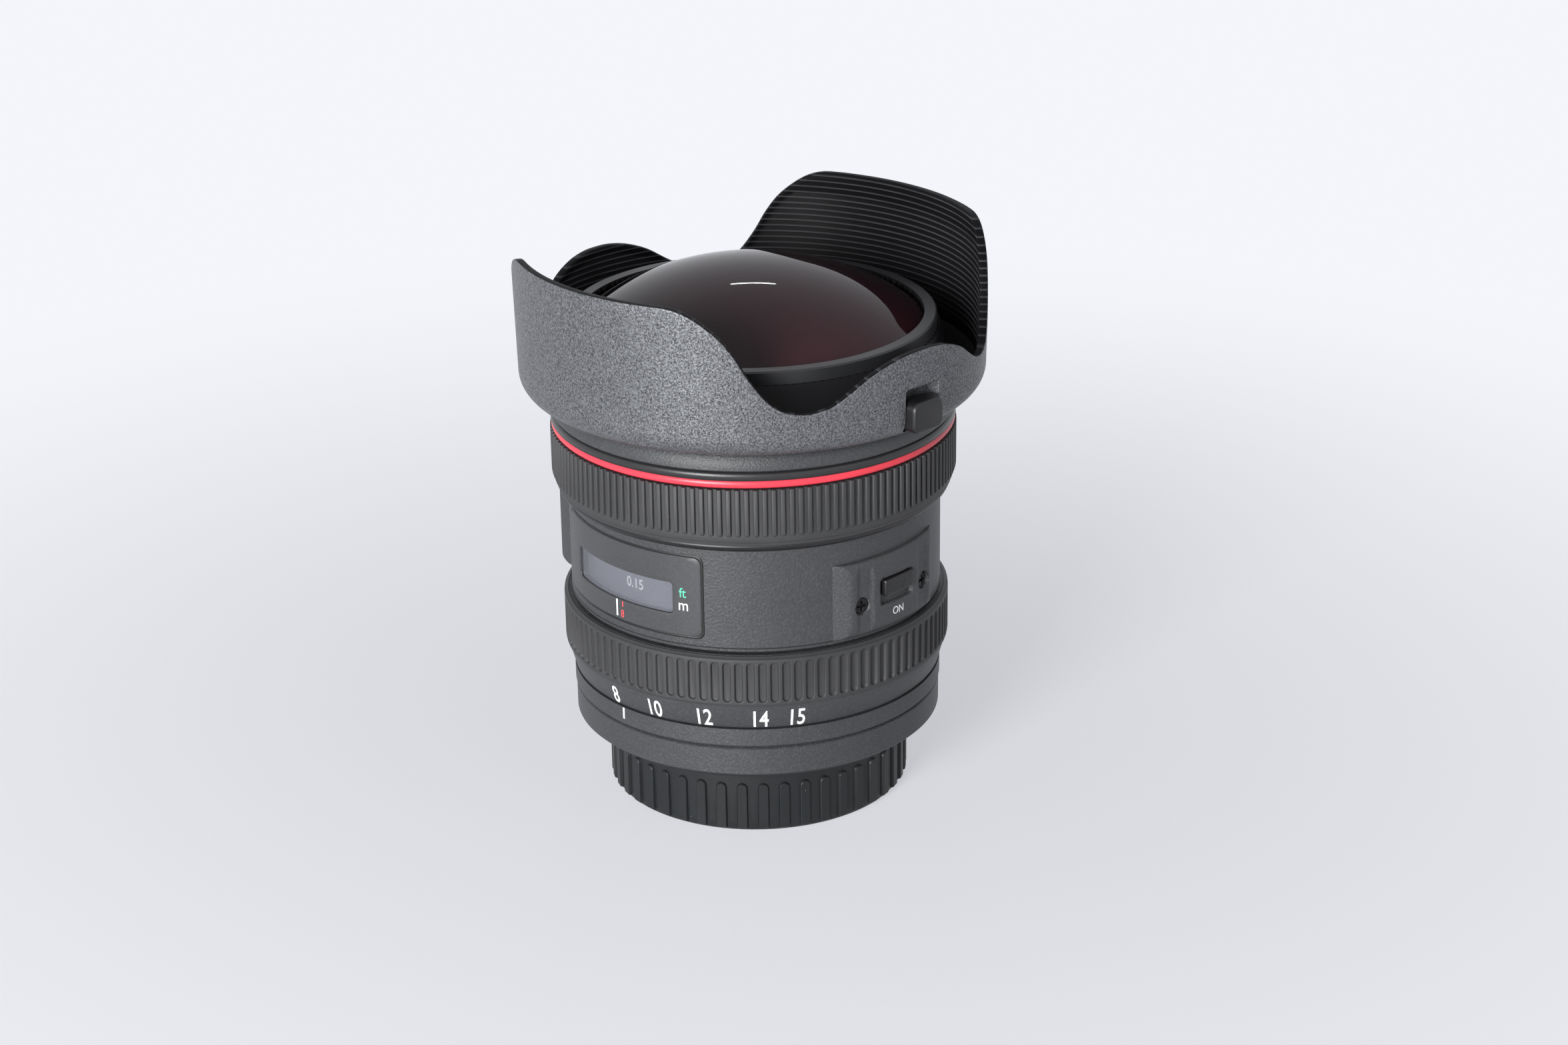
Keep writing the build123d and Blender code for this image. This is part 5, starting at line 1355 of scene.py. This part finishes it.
class LENS_OT_stage(bpy.types.Operator):
    """Plain pale floor, soft light and the camera"""

    bl_idname = "lens.stage"
    bl_label = "Stage"

    # name, degrees aside of the camera, degrees up, metres away, size in metres, share of the key light's power
    softboxes = (("key_softbox", -26, 11, 0.9, (0.30, 0.50), 1), ("fill_softbox", 52, 30, 1.1, (0.7, 0.7), 0.06),
                 ("back_strip", 180, 40, 1.0, (0.16, 0.008), 0.018))
    light_aim = 70 * MM
    floor_side = 12
    # the floor fades into the background between these distances from the lens
    haze_start, haze_end, haze_least, haze_colour = 20 * MM, 360 * MM, 0.56, (0.90, 0.915, 0.96, 1)
    # the room dims between these heights, as shares of straight up
    dim_start, dim_end, overhead, room_colour = 0.05, 0.62, 0.3, (0.94, 0.955, 1.0, 1)
    sensor_width = 36.0

    def execute(self, context):
        settings = context.scene.lens.stage
        self.floor(context.scene.lens.colours.floor)
        self.room(settings)
        self.camera(settings)
        for name, aside, elevation, away, size, share in self.softboxes:
            self.softbox(name, settings.azimuth + radians(aside), radians(elevation), away, size,
                         share * settings.key_power)
        context.scene.view_settings.view_transform = "Standard"
        return {"FINISHED"}

    def background_rays(self, finish):
        """Rays that see the background: the camera's, and those that gloss and glass send on."""
        rays = [finish.node("ShaderNodeLightPath", out=name)
                for name in ("Is Camera Ray", "Is Glossy Ray", "Is Transmission Ray")]
        return finish.ramp(rays[0] + rays[1] + rays[2], 0, 1)

    def floor(self, colour):
        mesh = flat("floor", rectangle(self.floor_side, self.floor_side))
        surface = Finish("Studio floor")
        away = surface.node("ShaderNodeVectorMath", {"operation": "LENGTH"}, {0: surface.place()}, out="Value")
        haze = surface.node("ShaderNodeMapRange", {"interpolation_type": "SMOOTHSTEP"},
                            {"Value": away, "From Min": self.haze_start, "From Max": self.haze_end,
                             "To Min": self.haze_least, "To Max": 1.0})
        matt = surface.node("ShaderNodeBsdfDiffuse", {}, {"Color": (*colour, 1)})
        glow = surface.node("ShaderNodeEmission", {}, {"Color": self.haze_colour, "Strength": 1.0})
        share = haze * self.background_rays(surface)
        mesh.materials.append(surface.close(surface.node("ShaderNodeMixShader", {}, {0: share, 1: matt, 2: glow})))
        floor = bpy.data.objects.new("floor", mesh)
        bpy.context.scene.collection.objects.link(floor)

    def room(self, settings):
        """Room that is pale near the horizon and dim overhead."""
        world = bpy.data.worlds.new("Room")
        world.use_nodes = True
        bpy.context.scene.world = world
        room = Finish.on(world.node_tree)
        height = room.node("ShaderNodeSeparateXYZ", {}, {0: room.node("ShaderNodeTexCoord")}, out="Z")
        level = room.node("ShaderNodeMapRange", {"interpolation_type": "SMOOTHSTEP"},
                          {"Value": height, "From Min": self.dim_start, "From Max": self.dim_end,
                           "To Min": settings.room_light, "To Max": self.overhead * settings.room_light})
        strength = level + (1 - level) * self.background_rays(room)
        light = room.node("ShaderNodeBackground", {}, {"Color": self.room_colour, "Strength": strength})
        room.node("ShaderNodeOutputWorld", {}, {"Surface": light})

    def camera(self, settings):
        data = bpy.data.cameras.new("camera")
        data.lens = settings.focal_length
        data.sensor_width = self.sensor_width
        camera = bpy.data.objects.new("camera", data)
        bpy.context.scene.collection.objects.link(camera)
        bpy.context.scene.camera = camera
        turn = Matrix.Rotation(settings.azimuth, 4, "Z")
        spot = turn @ Vector((settings.aside, -settings.away, settings.above))
        tilt = Matrix.Rotation(pi / 2 - settings.pitch, 4, "X")
        lean = Matrix.Rotation(-settings.roll, 4, "Z")
        camera.matrix_world = Matrix.Translation(spot) @ turn @ tilt @ lean

    def softbox(self, name, azimuth, elevation, away, size, power):
        data = bpy.data.lights.new(name, "AREA")
        data.shape = "RECTANGLE"
        data.size, data.size_y = size
        data.energy = power
        lamp = bpy.data.objects.new(name, data)
        bpy.context.scene.collection.objects.link(lamp)
        toward = polar(cos(elevation), degrees(azimuth), sin(elevation))
        lamp.location = Vector((0, 0, self.light_aim)) + toward * away
        lamp.rotation_euler = toward.to_track_quat("Z", "Y").to_euler()


OPERATORS = (LENS_OT_hood, LENS_OT_front_glass, LENS_OT_grips, LENS_OT_barrels, LENS_OT_window, LENS_OT_marks,
             LENS_OT_switches, LENS_OT_inner_parts, LENS_OT_stage)


class LENS_PT_panel(bpy.types.Panel):
    """Lists the lens's pieces and settings in the sidebar"""

    bl_idname = "LENS_PT_panel"
    bl_label = "Fisheye Zoom Lens"
    bl_space_type = "VIEW_3D"
    bl_region_type = "UI"
    bl_category = "Lens"

    def draw(self, context):
        for operator in OPERATORS:
            self.layout.operator(operator.bl_idname)
        settings = context.scene.lens
        for group in (settings.colours, settings.sizes, settings.stage):
            box = self.layout.box()
            for name in group.__annotations__:
                box.prop(group, name)


CLASSES = (LensColours, LensSizes, StageSettings, LensSettings, *OPERATORS, LENS_PT_panel)


def register():
    for each in CLASSES:
        bpy.utils.register_class(each)
    bpy.types.Scene.lens = bpy.props.PointerProperty(type=LensSettings)


def unregister():
    del bpy.types.Scene.lens
    for each in reversed(CLASSES):
        bpy.utils.unregister_class(each)


def main():
    register()
    for operator in OPERATORS:
        getattr(bpy.ops.lens, operator.bl_idname.split(".")[1])()


if __name__ == "__main__":
    main()
